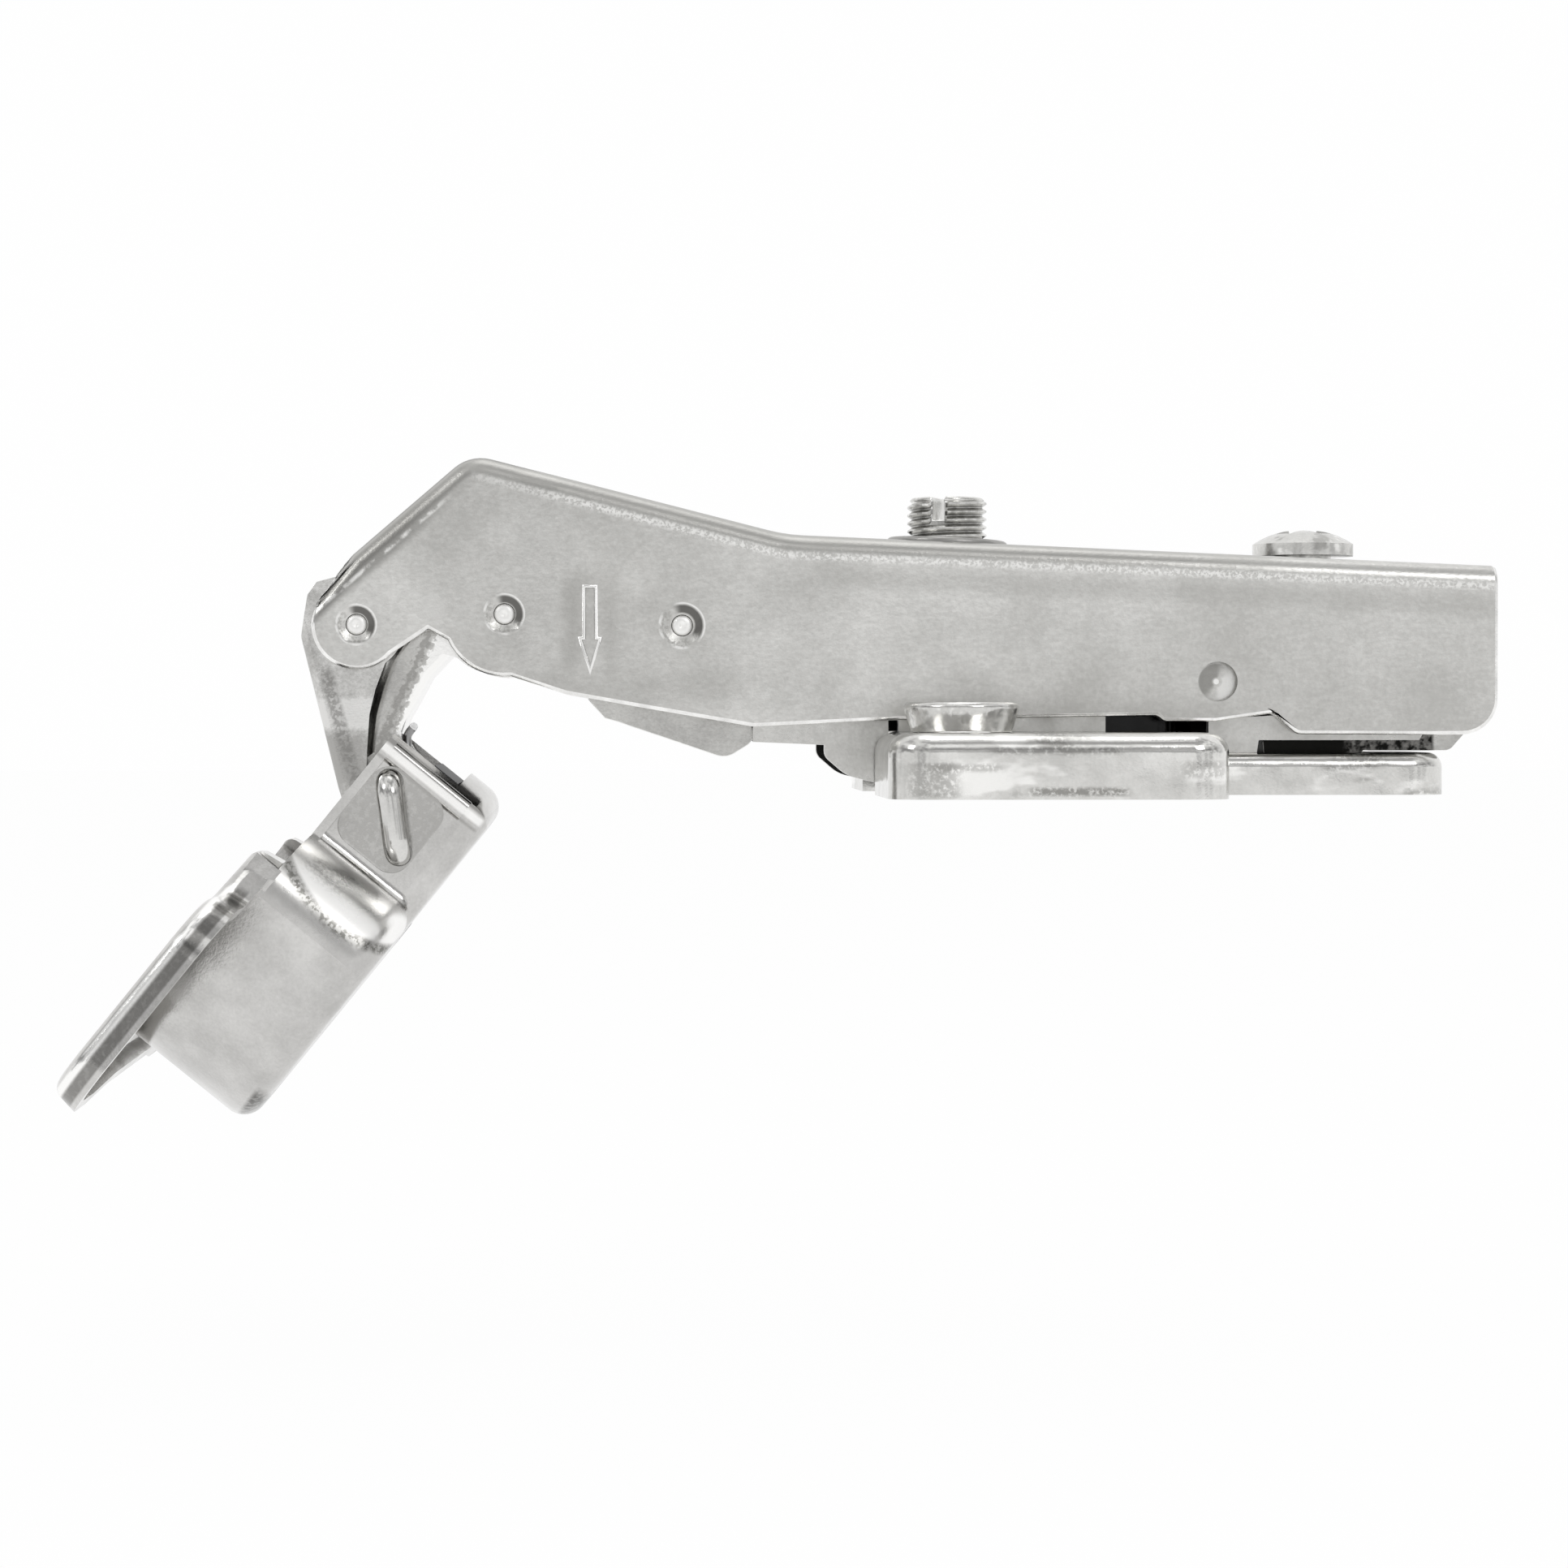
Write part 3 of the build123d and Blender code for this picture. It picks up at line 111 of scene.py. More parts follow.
# brightness by height on the camera's side of the room
height = tree.nodes.new("ShaderNodeValToRGB")
height.color_ramp.interpolation = "EASE"
stops = [
    (0.0, 0.9), (0.42, 0.86), (0.50, 0.92), (0.57, 0.86), (0.66, 0.52), (0.74, 0.62), (0.82, 0.98), (1.0, 0.86),
]
height.color_ramp.elements[0].position = stops[0][0]
height.color_ramp.elements[0].color = (stops[0][1],) * 3 + (1,)
height.color_ramp.elements[1].position = stops[-1][0]
height.color_ramp.elements[1].color = (stops[-1][1],) * 3 + (1,)
for spot, value in stops[1:-1]:
    element = height.color_ramp.elements.new(spot)
    element.color = (value,) * 3 + (1,)
lift = tree.nodes.new("ShaderNodeMapRange")
lift.inputs["From Min"].default_value = -1.0
lift.inputs["From Max"].default_value = 1.0
tree.links.new(split.outputs["Z"], lift.inputs["Value"])
tree.links.new(lift.outputs[0], height.inputs["Fac"])
# curtains and stands of the studio: broad uneven patches
patches = tree.nodes.new("ShaderNodeTexNoise")
patches.inputs["Scale"].default_value = 4.2
patches.inputs["Detail"].default_value = 1.5
patches.inputs["Distortion"].default_value = 0.6
tree.links.new(coord.outputs["Generated"], patches.inputs["Vector"])
uneven = tree.nodes.new("ShaderNodeMapRange")
uneven.interpolation_type = "SMOOTHSTEP"
uneven.inputs["From Min"].default_value = 0.40
uneven.inputs["From Max"].default_value = 0.56
uneven.inputs["To Min"].default_value = 0.48
uneven.inputs["To Max"].default_value = 1.10
tree.links.new(patches.outputs["Fac"], uneven.inputs["Value"])
near_side = tree.nodes.new("ShaderNodeMath")
near_side.operation = "MULTIPLY"
tree.links.new(height.outputs["Color"], near_side.inputs[0])
tree.links.new(uneven.outputs[0], near_side.inputs[1])
# white backdrop behind the hinge
far_share = tree.nodes.new("ShaderNodeMapRange")
far_share.interpolation_type = "SMOOTHSTEP"
far_share.inputs["From Min"].default_value = -0.05
far_share.inputs["From Max"].default_value = 0.45
tree.links.new(split.outputs["Y"], far_share.inputs["Value"])
whole = tree.nodes.new("ShaderNodeMix")
whole.data_type = "FLOAT"
whole.inputs["B"].default_value = 1.0
tree.links.new(far_share.outputs[0], whole.inputs["Factor"])
tree.links.new(near_side.outputs[0], whole.inputs["A"])
lit = tree.nodes.new("ShaderNodeBackground")
tree.links.new(whole.outputs[0], lit.inputs["Color"])
lit.inputs["Strength"].default_value = 1.0
white = tree.nodes.new("ShaderNodeBackground")
white.inputs["Color"].default_value = (0.995, 0.995, 0.995, 1)
white.inputs["Strength"].default_value = 1.0
blend = tree.nodes.new("ShaderNodeMixShader")
tree.links.new(path.outputs["Is Camera Ray"], blend.inputs["Fac"])
tree.links.new(lit.outputs[0], blend.inputs[1])
tree.links.new(white.outputs[0], blend.inputs[2])
tree.links.new(blend.outputs[0], out.inputs["Surface"])

for name, place, aim, size, power in (
    ("lamp_upper_right", (0.24, -0.46, 0.31), (-0.02, 0, 0), 0.20, 0.42),
    ("lamp_upper_left", (-0.42, -0.26, 0.32), (-0.03, 0, 0), 0.16, 0.32),
    ("lamp_above", (0.02, 0.05, 0.60), (0.0, 0, 0), 0.30, 0.30),
):
    light = bpy.data.lights.new(name, "AREA")
    light.size = size
    light.energy = power
    lamp = bpy.data.objects.new(name, light)
    bpy.context.scene.collection.objects.link(lamp)
    lamp.location = place
    toward = np.array(aim) - np.array(place)
    flat = math.hypot(toward[0], toward[1])
    lamp.rotation_euler = (math.atan2(flat, -toward[2]), 0, math.atan2(-toward[0], toward[1]))

camera_data = bpy.data.cameras.new("camera")
camera_data.lens = 81.203
camera_data.sensor_width = 36
camera_data.shift_x = 0.056
camera_data.shift_y = -0.022
camera_data.clip_start = 0.01
camera_data.clip_end = 20
camera = bpy.data.objects.new("camera", camera_data)
bpy.context.scene.collection.objects.link(camera)
camera.location = (-28.27 * MM, -300 * MM, 6.726 * MM)
camera.rotation_euler = (math.pi / 2 - math.radians(0.5762), 0, -math.radians(1.3975))
bpy.context.scene.camera = camera
bpy.context.scene.view_settings.view_transform = "Standard"

# Mounting plate: one stamping of bright plated steel, screwed flat on the panel.
# Its wings carry the screws, a rib stands inside the bracket, and its tail is what the
# latch under the arm grips.


def plating_group():
    """Node group for plated steel: slow cloudy shade changes and a fine pebbled grain.
    Shade mixes two metal colours, Roughness follows the same clouds, and Height holds the
    grain plus the slow waves that pressing leaves in the sheet."""
    group = bpy.data.node_groups.new("plated_steel", "ShaderNodeTree")
    face = group.interface
    for name, default in (
        ("Cloud Size", 180.0), ("Deepening", 0.0), ("Grain Size", 3500.0), ("Grain Amount", 0.3),
        ("Wave Size", 260.0), ("Wave Amount", 1.0), ("Roughness Low", 0.2), ("Roughness High", 0.3),
    ):
        socket = face.new_socket(name=name, in_out="INPUT", socket_type="NodeSocketFloat")
        socket.default_value = default
    for name, default in (
        ("Light Metal", (0.7, 0.69, 0.67, 1)), ("Deep Metal", (0.6, 0.59, 0.57, 1)),
    ):
        socket = face.new_socket(name=name, in_out="INPUT", socket_type="NodeSocketColor")
        socket.default_value = default
    face.new_socket(name="Shade", in_out="OUTPUT", socket_type="NodeSocketColor")
    face.new_socket(name="Roughness", in_out="OUTPUT", socket_type="NodeSocketFloat")
    face.new_socket(name="Height", in_out="OUTPUT", socket_type="NodeSocketFloat")
    add = group.nodes.new
    join = group.links.new
    given = add("NodeGroupInput")
    given_out = add("NodeGroupOutput")
    place = add("ShaderNodeTexCoord")
    clouds = add("ShaderNodeTexNoise")
    clouds.inputs["Detail"].default_value = 4.0
    clouds.inputs["Roughness"].default_value = 0.6
    join(place.outputs["Object"], clouds.inputs["Vector"])
    join(given.outputs["Cloud Size"], clouds.inputs["Scale"])
    grain = add("ShaderNodeTexNoise")
    grain.inputs["Detail"].default_value = 2.0
    grain.inputs["Roughness"].default_value = 0.7
    join(place.outputs["Object"], grain.inputs["Vector"])
    join(given.outputs["Grain Size"], grain.inputs["Scale"])
    waves = add("ShaderNodeTexNoise")
    waves.inputs["Detail"].default_value = 1.0
    join(given.outputs["Wave Size"], waves.inputs["Scale"])
    join(place.outputs["Object"], waves.inputs["Vector"])
    # clouds and grain together make the mottled plating
    mottle = add("ShaderNodeMath")
    mottle.operation = "MULTIPLY_ADD"
    mottle.inputs[1].default_value = 0.35
    join(grain.outputs["Fac"], mottle.inputs[0])
    join(clouds.outputs["Fac"], mottle.inputs[2])
    spread = add("ShaderNodeMapRange")
    spread.inputs["From Min"].default_value = 0.50
    spread.inputs["From Max"].default_value = 0.84
    join(mottle.outputs[0], spread.inputs["Value"])
    share = add("ShaderNodeMath")
    share.operation = "ADD"
    share.use_clamp = True
    join(spread.outputs[0], share.inputs[0])
    join(given.outputs["Deepening"], share.inputs[1])
    tint = add("ShaderNodeMix")
    tint.data_type = "RGBA"
    join(share.outputs[0], tint.inputs["Factor"])
    join(given.outputs["Light Metal"], tint.inputs["A"])
    join(given.outputs["Deep Metal"], tint.inputs["B"])
    gloss = add("ShaderNodeMapRange")
    join(clouds.outputs["Fac"], gloss.inputs["Value"])
    gloss.inputs["From Min"].default_value = 0.3
    gloss.inputs["From Max"].default_value = 0.7
    join(given.outputs["Roughness Low"], gloss.inputs["To Min"])
    join(given.outputs["Roughness High"], gloss.inputs["To Max"])
    fine = add("ShaderNodeMath")
    fine.operation = "MULTIPLY"
    join(grain.outputs["Fac"], fine.inputs[0])
    join(given.outputs["Grain Amount"], fine.inputs[1])
    total = add("ShaderNodeMath")
    total.operation = "MULTIPLY_ADD"
    join(waves.outputs["Fac"], total.inputs[0])
    join(given.outputs["Wave Amount"], total.inputs[1])
    join(fine.outputs[0], total.inputs[2])
    join(tint.outputs["Result"], given_out.inputs["Shade"])
    join(gloss.outputs[0], given_out.inputs["Roughness"])
    join(total.outputs[0], given_out.inputs["Height"])
    return group


plated_steel = plating_group()


def plated_finish(
    name, light, deep, rough, grain=0.3, grain_size=3500.0, wave=1.0, wave_size=260.0, clouds=180.0
):
    """Material for one plated piece: the shared plating with this piece's own values, its
    height turned into a relief of 0.02 mm for each unit."""
    finish = bpy.data.materials.new(name)
    finish.use_nodes = True
    tree = finish.node_tree
    shader = tree.nodes["Principled BSDF"]
    shader.inputs["Metallic"].default_value = 1.0
    plating = tree.nodes.new("ShaderNodeGroup")
    plating.name = "plating"
    plating.node_tree = plated_steel
    plating.inputs["Light Metal"].default_value = light + (1,)
    plating.inputs["Deep Metal"].default_value = deep + (1,)
    plating.inputs["Roughness Low"].default_value = rough[0]
    plating.inputs["Roughness High"].default_value = rough[1]
    plating.inputs["Grain Amount"].default_value = grain
    plating.inputs["Grain Size"].default_value = grain_size
    plating.inputs["Wave Amount"].default_value = wave
    plating.inputs["Wave Size"].default_value = wave_size
    plating.inputs["Cloud Size"].default_value = clouds
    relief = tree.nodes.new("ShaderNodeBump")
    relief.inputs["Strength"].default_value = 1.0
    relief.inputs["Distance"].default_value = 0.02 * MM
    tree.links.new(plating.outputs["Shade"], shader.inputs["Base Color"])
    tree.links.new(plating.outputs["Roughness"], shader.inputs["Roughness"])
    tree.links.new(plating.outputs["Height"], relief.inputs["Height"])
    tree.links.new(relief.outputs["Normal"], shader.inputs["Normal"])
    return finish


def combine(tree, operation, first, second=0.0):
    """One math step on two sockets or numbers."""
    step = tree.nodes.new("ShaderNodeMath")
    step.operation = operation
    for place, value in enumerate((first, second)):
        if isinstance(value, (int, float)):
            step.inputs[place].default_value = value
        else:
            tree.links.new(value, step.inputs[place])
    return step.outputs[0]


def times(tree, *factors):
    """Product of sockets and numbers."""
    product = factors[0]
    for factor in factors[1:]:
        product = combine(tree, "MULTIPLY", product, factor)
    return product


def soft_step(tree, value, start, end, low=0.0, high=1.0):
    """Smooth change from low to high while a value goes from start to end."""
    step = tree.nodes.new("ShaderNodeMapRange")
    step.interpolation_type = "SMOOTHSTEP"
    step.inputs["From Min"].default_value = start
    step.inputs["From Max"].default_value = end
    step.inputs["To Min"].default_value = low
    step.inputs["To Max"].default_value = high
    tree.links.new(value, step.inputs["Value"])
    return step.outputs[0]


def vector_step(tree, operation, vector, *values):
    """One vector math step on a socket and fixed vectors."""
    step = tree.nodes.new("ShaderNodeVectorMath")
    step.operation = operation
    tree.links.new(vector, step.inputs[0])
    for place, value in enumerate(values):
        step.inputs[place + 1].default_value = value
    return step


def place_of(finish):
    """Object coordinates of a finish, as a vector in mm."""
    tree = finish.node_tree
    place = tree.nodes.new("ShaderNodeTexCoord")
    scaled = vector_step(tree, "SCALE", place.outputs["Object"])
    scaled.inputs["Scale"].default_value = 1 / MM
    return scaled.outputs[0]


def axes_of(tree, spot, *axes):
    """The named coordinates of a vector."""
    split = tree.nodes.new("ShaderNodeSeparateXYZ")
    tree.links.new(spot, split.inputs[0])
    return [split.outputs[axis] for axis in axes]


def along_axis(tree, vector, origin, direction):
    """Distance in mm of the point from origin, measured along a direction."""
    step = vector_step(tree, "DOT_PRODUCT", vector, direction)
    return combine(tree, "SUBTRACT", step.outputs["Value"], float(np.dot(origin, direction)))


def shifted(tree, vector, shift):
    """The vector moved by a fixed step, for a second pattern of the same kind."""
    return vector_step(tree, "ADD", vector, shift).outputs[0]


def plateau(tree, value, start, end, soft):
    """One between start and end, falling softly to nought outside them."""
    up = soft_step(tree, value, start - soft, start + soft)
    down = soft_step(tree, value, end - soft, end + soft, 1.0, 0.0)
    return times(tree, up, down)


def speckle(tree, vector, size, share=0.5, stretch=(1, 1, 1), blur=0.04):
    """Irregular spots of a size in mm: the more of the surface they are to cover, the lower
    the level of the noise at which they begin. The share is met roughly, not exactly."""
    spots = tree.nodes.new("ShaderNodeTexNoise")
    spots.inputs["Scale"].default_value = 0.5 / size
    spots.inputs["Detail"].default_value = 3.0
    spots.inputs["Roughness"].default_value = 0.6
    tree.links.new(vector_step(tree, "MULTIPLY", vector, stretch).outputs[0], spots.inputs["Vector"])
    level = 0.5 + (0.5 - share) * 0.45
    return soft_step(tree, spots.outputs["Fac"], level - blur, level + blur)


def overlay(finish, colour, *masks):
    """Lays a colour over a finish as far as the product of the masks says."""
    tree = finish.node_tree
    shader = tree.nodes["Principled BSDF"]
    under = shader.inputs["Base Color"].links[0].from_socket
    mix = tree.nodes.new("ShaderNodeMix")
    mix.data_type = "RGBA"
    mix.inputs["B"].default_value = colour + (1,)
    tree.links.new(times(tree, *masks), mix.inputs["Factor"])
    tree.links.new(under, mix.inputs["A"])
    tree.links.new(mix.outputs["Result"], shader.inputs["Base Color"])


def new_piece(name, mesh):
    """Object of a mesh, put into the scene at the origin."""
    piece = bpy.data.objects.new(name, mesh)
    bpy.context.scene.collection.objects.link(piece)
    return piece


def broken_edges(node, width, finish, clamp=True, keep=lambda middle: False):
    """Copy of a CAD piece whose sharp edges are rounded by a small width in mm, as tumbling
    leaves them: coplanar triangles are joined into faces first, so only real edges are
    rounded, and flat faces keep their own normals. Edges that keep picks stay sharp."""
    sharp = math.radians(34)
    source = nodes[node]
    mesh = source.data.copy()
    mesh.name = node + "_piece"
    work = bmesh.new()
    work.from_mesh(mesh)
    bmesh.ops.remove_doubles(work, verts=work.verts, dist=2e-6)
    bmesh.ops.dissolve_limit(
        work, angle_limit=math.radians(0.6), verts=work.verts, edges=work.edges, use_dissolve_boundaries=False
    )
    weight = work.edges.layers.float.new("bevel_weight_edge")
    for edge in work.edges:
        if edge.calc_face_angle(0.0) > sharp:
            middle = (edge.verts[0].co + edge.verts[1].co) / (2 * MM)
            edge[weight] = 0.0 if keep(middle) else 1.0
    work.to_mesh(mesh)
    work.free()
    mesh.materials.clear()
    mesh.materials.append(finish)
    # the rounded edges get a paler metal, a painted highlight
    mesh.materials.append(edge_highlight)
    piece = new_piece(node + "_piece", mesh)
    for polygon in mesh.polygons:
        polygon.use_smooth = True
        polygon.material_index = 0
    mesh.set_sharp_from_angle(angle=sharp)
    rounding = piece.modifiers.new("rounded_edges", "BEVEL")
    rounding.width = width * MM
    rounding.segments = 2
    rounding.limit_method = "WEIGHT"
    rounding.use_clamp_overlap = clamp
    rounding.material = 1
    flats = piece.modifiers.new("flat_faces", "WEIGHTED_NORMAL")
    flats.mode = "FACE_AREA"
    flats.weight = 100
    flats.keep_sharp = True
    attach(piece, source["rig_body"])
    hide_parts(node)
    return piece


def grid_faces(rows, columns, wrap=False):
    """Quads over a grid of points kept row by row; wrap also joins each row's end to its
    start."""
    row = np.arange(rows - 1)[:, None]
    column = np.arange(columns if wrap else columns - 1)[None, :]
    here, below = row * columns, (row + 1) * columns
    after = (column + 1) % columns
    corners = (here + column, here + after, below + after, below + column)
    return np.stack([c.ravel() for c in corners], axis=1)


def new_mesh(name, points, faces, finish):
    """Mesh of points in metres and faces, its doubles merged and its normals turned outwards."""
    mesh = bpy.data.meshes.new(name)
    mesh.from_pydata(points.reshape(-1, 3).tolist(), [], faces.tolist())
    work = bmesh.new()
    work.from_mesh(mesh)
    bmesh.ops.remove_doubles(work, verts=work.verts, dist=1e-6)
    bmesh.ops.recalc_face_normals(work, faces=work.faces)
    work.to_mesh(mesh)
    work.free()
    mesh.materials.append(finish)
    for polygon in mesh.polygons:
        polygon.use_smooth = True
    return mesh


def repaint(node, finish):
    """Gives a CAD node whose shape is right its finish in every material slot."""
    for place in range(len(nodes[node].data.materials)):
        nodes[node].data.materials[place] = finish


# colour of painted highlights, and of painted dark reflections and painted shade
PAINTED_HIGHLIGHT = (0.99, 0.985, 0.965)
PAINTED_DARK = (0.30, 0.295, 0.28)
# painted dark reflections in streaks on the wing's side: x from and to, z from and to in mm, and share
PLATE_DARK_REFLECTIONS = (
    (-4.9, -1.0, 0.2, 2.9, 0.55), (1.6, 11.7, 3.55, 4.1, 0.55), (4.6, 12.3, 0.3, 0.95, 0.9),
    (16.6, 20.2, 1.7, 3.0, 0.45), (-3.0, 2.4, 2.2, 2.8, 0.5),
)
RIB_HALF = 4.9

# paler metal of the rounded edges: a painted highlight along them
edge_highlight = plated_finish(
    "edge_highlight", (0.97, 0.965, 0.95), (0.80, 0.795, 0.78), (0.16, 0.30), grain=0.6, wave=1.0, clouds=500.0
)
plate_plating = plated_finish(
    "plate_plating", (0.76, 0.755, 0.735), (0.62, 0.615, 0.595), (0.10, 0.22), grain=0.3, wave=7.0, clouds=240.0
)
tree = plate_plating.node_tree
spot = place_of(plate_plating)
x_mm, y_mm, z_mm = axes_of(tree, spot, "X", "Y", "Z")
# painted highlights in large patches, and painted dark reflections finely speckled
bright = speckle(tree, spot, 2.6, 0.34, stretch=(0.7, 0.7, 1.7), blur=0.05)
fine = speckle(tree, spot, 0.20, 0.62, blur=0.10)
overlay(plate_plating, PAINTED_HIGHLIGHT, bright, 0.75)
dark = speckle(tree, shifted(tree, spot, (31, 17, 5)), 3.0, 0.24, stretch=(0.6, 0.6, 2.0), blur=0.05)
overlay(plate_plating, PAINTED_DARK, dark, fine, 0.7)
for x0, x1, z0, z1, share in PLATE_DARK_REFLECTIONS:
    streak = times(tree, plateau(tree, x_mm, x0, x1, 0.7), plateau(tree, z_mm, z0, z1, 0.2))
    overlay(plate_plating, (0.27, 0.265, 0.25), streak, fine, share)
# the rib stands in the bracket's shade
in_rib = soft_step(tree, combine(tree, "ABSOLUTE", y_mm), RIB_HALF, RIB_HALF + 0.4, 1.0, 0.0)
overlay(plate_plating, (0.02, 0.02, 0.02), in_rib, soft_step(tree, z_mm, 3.0, 4.4))
broken_edges("mounting_plate", 0.3, plate_plating)

# The rib's rear end: a narrower step of the same stamping, which closes the view through
# the slot below the arm.
RIB_END_OUTLINE = ((19.2, -0.45), (20.9, -0.45), (21.15, -0.2), (21.15, 0.2), (20.9, 0.45), (19.2, 0.45))
RIB_END_LEVELS = (3.2, 8.0, 8.25)
RIB_END_WIDTHS = (1.0, 1.0, 0.0)


def rib_end_surface():
    """The outline (x, y) swept up over the levels z; at each level y is multiplied by that
    level's width, so the top closes to a line."""
    x, y = np.array(RIB_END_OUTLINE).T
    level = np.array(RIB_END_LEVELS)[:, None]
    width = np.array(RIB_END_WIDTHS)[:, None]
    return np.stack([x[None, :] + 0 * level, y[None, :] * width, level + 0 * x[None, :]], axis=-1) * MM


rib_faces = grid_faces(len(RIB_END_LEVELS), len(RIB_END_OUTLINE), wrap=True)
rib_mesh = new_mesh("plate_rib_end", rib_end_surface(), rib_faces, plate_plating)
plate_rib_end = new_piece("plate_rib_end", rib_mesh)
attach(plate_rib_end, nodes["mounting_plate"]["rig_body"])

# Panel screws: zinc plated countersunk screws with cross recesses, one in each wing, which
# hold the plate to the cabinet's side. The side screw and depth screw have their plating.
SCREW_X = 0.35
THREAD_FROM = 19.2
screw_plating = plated_finish(
    "screw_plating", (0.74, 0.735, 0.715), (0.58, 0.575, 0.555), (0.14, 0.28), grain=0.4, wave=4.0, clouds=320.0
)
tree = screw_plating.node_tree
spot = place_of(screw_plating)
(z_mm,) = axes_of(tree, spot, "Z")
# painted highlights and painted dark reflections in patches
bright = speckle(tree, spot, 1.3, 0.32, blur=0.05)
overlay(screw_plating, PAINTED_HIGHLIGHT, bright, 0.75)
dark = speckle(tree, shifted(tree, spot, (11, 7, 5)), 1.2, 0.26, blur=0.05)
overlay(screw_plating, PAINTED_DARK, dark, 0.6)
# the root of the side screw's thread lies in shade
off_axis = vector_step(tree, "MULTIPLY_ADD", spot, (1, 1, 0), (-SCREW_X, 0, 0))
from_axis = vector_step(tree, "LENGTH", off_axis.outputs[0]).outputs["Value"]
threaded = plateau(tree, z_mm, THREAD_FROM - 0.2, 24.6, 0.1)
overlay(screw_plating, (0.12, 0.118, 0.11), plateau(tree, from_axis, 2.7, 3.12, 0.05), threaded, 0.45)
broken_edges("plate_screws", 0.12, screw_plating)

# Base bracket: folded channel that clips to the plate at its hooks in front and carries
# the latch at its rear. Its lower edge and feet show below the arm.
bracket_plating = plated_finish(
    "bracket_plating", (0.66, 0.655, 0.635), (0.52, 0.515, 0.495), (0.22, 0.38), grain=0.6, wave=2.0, clouds=220.0
)
tree = bracket_plating.node_tree
y_mm, z_mm = axes_of(tree, place_of(bracket_plating), "Y", "Z")
# painted shade on the channel's inner faces, below about 13 mm
inside = soft_step(tree, combine(tree, "ABSOLUTE", y_mm), 5.5, 5.6, 1.0, 0.0)
overlay(bracket_plating, (0.03, 0.03, 0.029), inside, soft_step(tree, z_mm, 12.0, 14.0, 1.0, 0.0))
broken_edges("base_bracket", 0.15, bracket_plating)

# Latch: stamped lever on a pin across the bracket, pressed down by a small coil spring, so
# that its nose holds the plate's tail. What lies low in the rear slot is in deep shade.
SLOT_FROM, SLOT_TO = 24.0, 40.9
lever_steel = plated_finish(
    "lever_steel", (0.62, 0.615, 0.595), (0.46, 0.455, 0.435), (0.25, 0.4), grain=0.8, wave=1.0, clouds=300.0
)
tree = lever_steel.node_tree
spot = place_of(lever_steel)
x_mm, z_mm = axes_of(tree, spot, "X", "Z")
in_slot = plateau(tree, x_mm, SLOT_FROM, SLOT_TO, 0.2)
shade = times(tree, in_slot, soft_step(tree, z_mm, 5.2, 5.6, 1.0, 0.0))
overlay(lever_steel, (0.012, 0.012, 0.011), shade)
# towards the slot's rear end the painted shade is a lighter, speckled grey
shade_speckle = speckle(tree, spot, 0.35, 0.5, blur=0.12)
overlay(lever_steel, (0.22, 0.215, 0.205), plateau(tree, x_mm, 33.5, SLOT_TO, 0.3), shade_speckle, shade)
broken_edges("release_lever", 0.15, lever_steel)
pin_plating = plated_finish(
    "pin_plating", (0.74, 0.735, 0.715), (0.62, 0.615, 0.60), (0.10, 0.20), grain=0.2, wave=2.0, clouds=300.0
)
spring_wire = plated_finish("spring_wire", (0.44, 0.44, 0.44), (0.30, 0.30, 0.30), (0.25, 0.35), grain=0.3)
repaint("latch_pin", pin_plating)
repaint("latch_spring", spring_wire)

# Slide plate: flat carriage of plated sheet under the roof, which holds the side screw's
# foot and moves for the depth setting. It has the bracket's plating.
broken_edges("slide_plate", 0.12, bracket_plating)

# Side screw: slotted grub screw through the roof. Its thread runs round the body and stops
# at the slot's sides. The CAD body is turned down to the thread's root, to make room for it.
THREAD_CREST = 3.36
THREAD_ROOT = 3.0
THREAD_PITCH = 0.67
THREAD_TO = 24.75
THREAD_SUNK = 0.06
THREAD_RUNOUT = 1.2
STEPS_A_TURN = 72
SLOT_TURN = math.radians(70)
SLOT_HALF = 0.575
SLOT_FLOOR = 23.05

side_screw = broken_edges("side_screw", 0.08, screw_plating)
core = np.empty(len(side_screw.data.vertices) * 3)
side_screw.data.vertices.foreach_get("co", core)
core = core.reshape(-1, 3)
reach = np.hypot(core[:, 0] - SCREW_X * MM, core[:, 1])
wall = reach > (THREAD_CREST - 0.2) * MM
shrink = np.where(wall, THREAD_ROOT * MM / np.maximum(reach, 1e-9), 1.0)
core[:, 0] = SCREW_X * MM + (core[:, 0] - SCREW_X * MM) * shrink
core[:, 1] = core[:, 1] * shrink
side_screw.data.vertices.foreach_set("co", core.ravel())
side_screw.data.update()


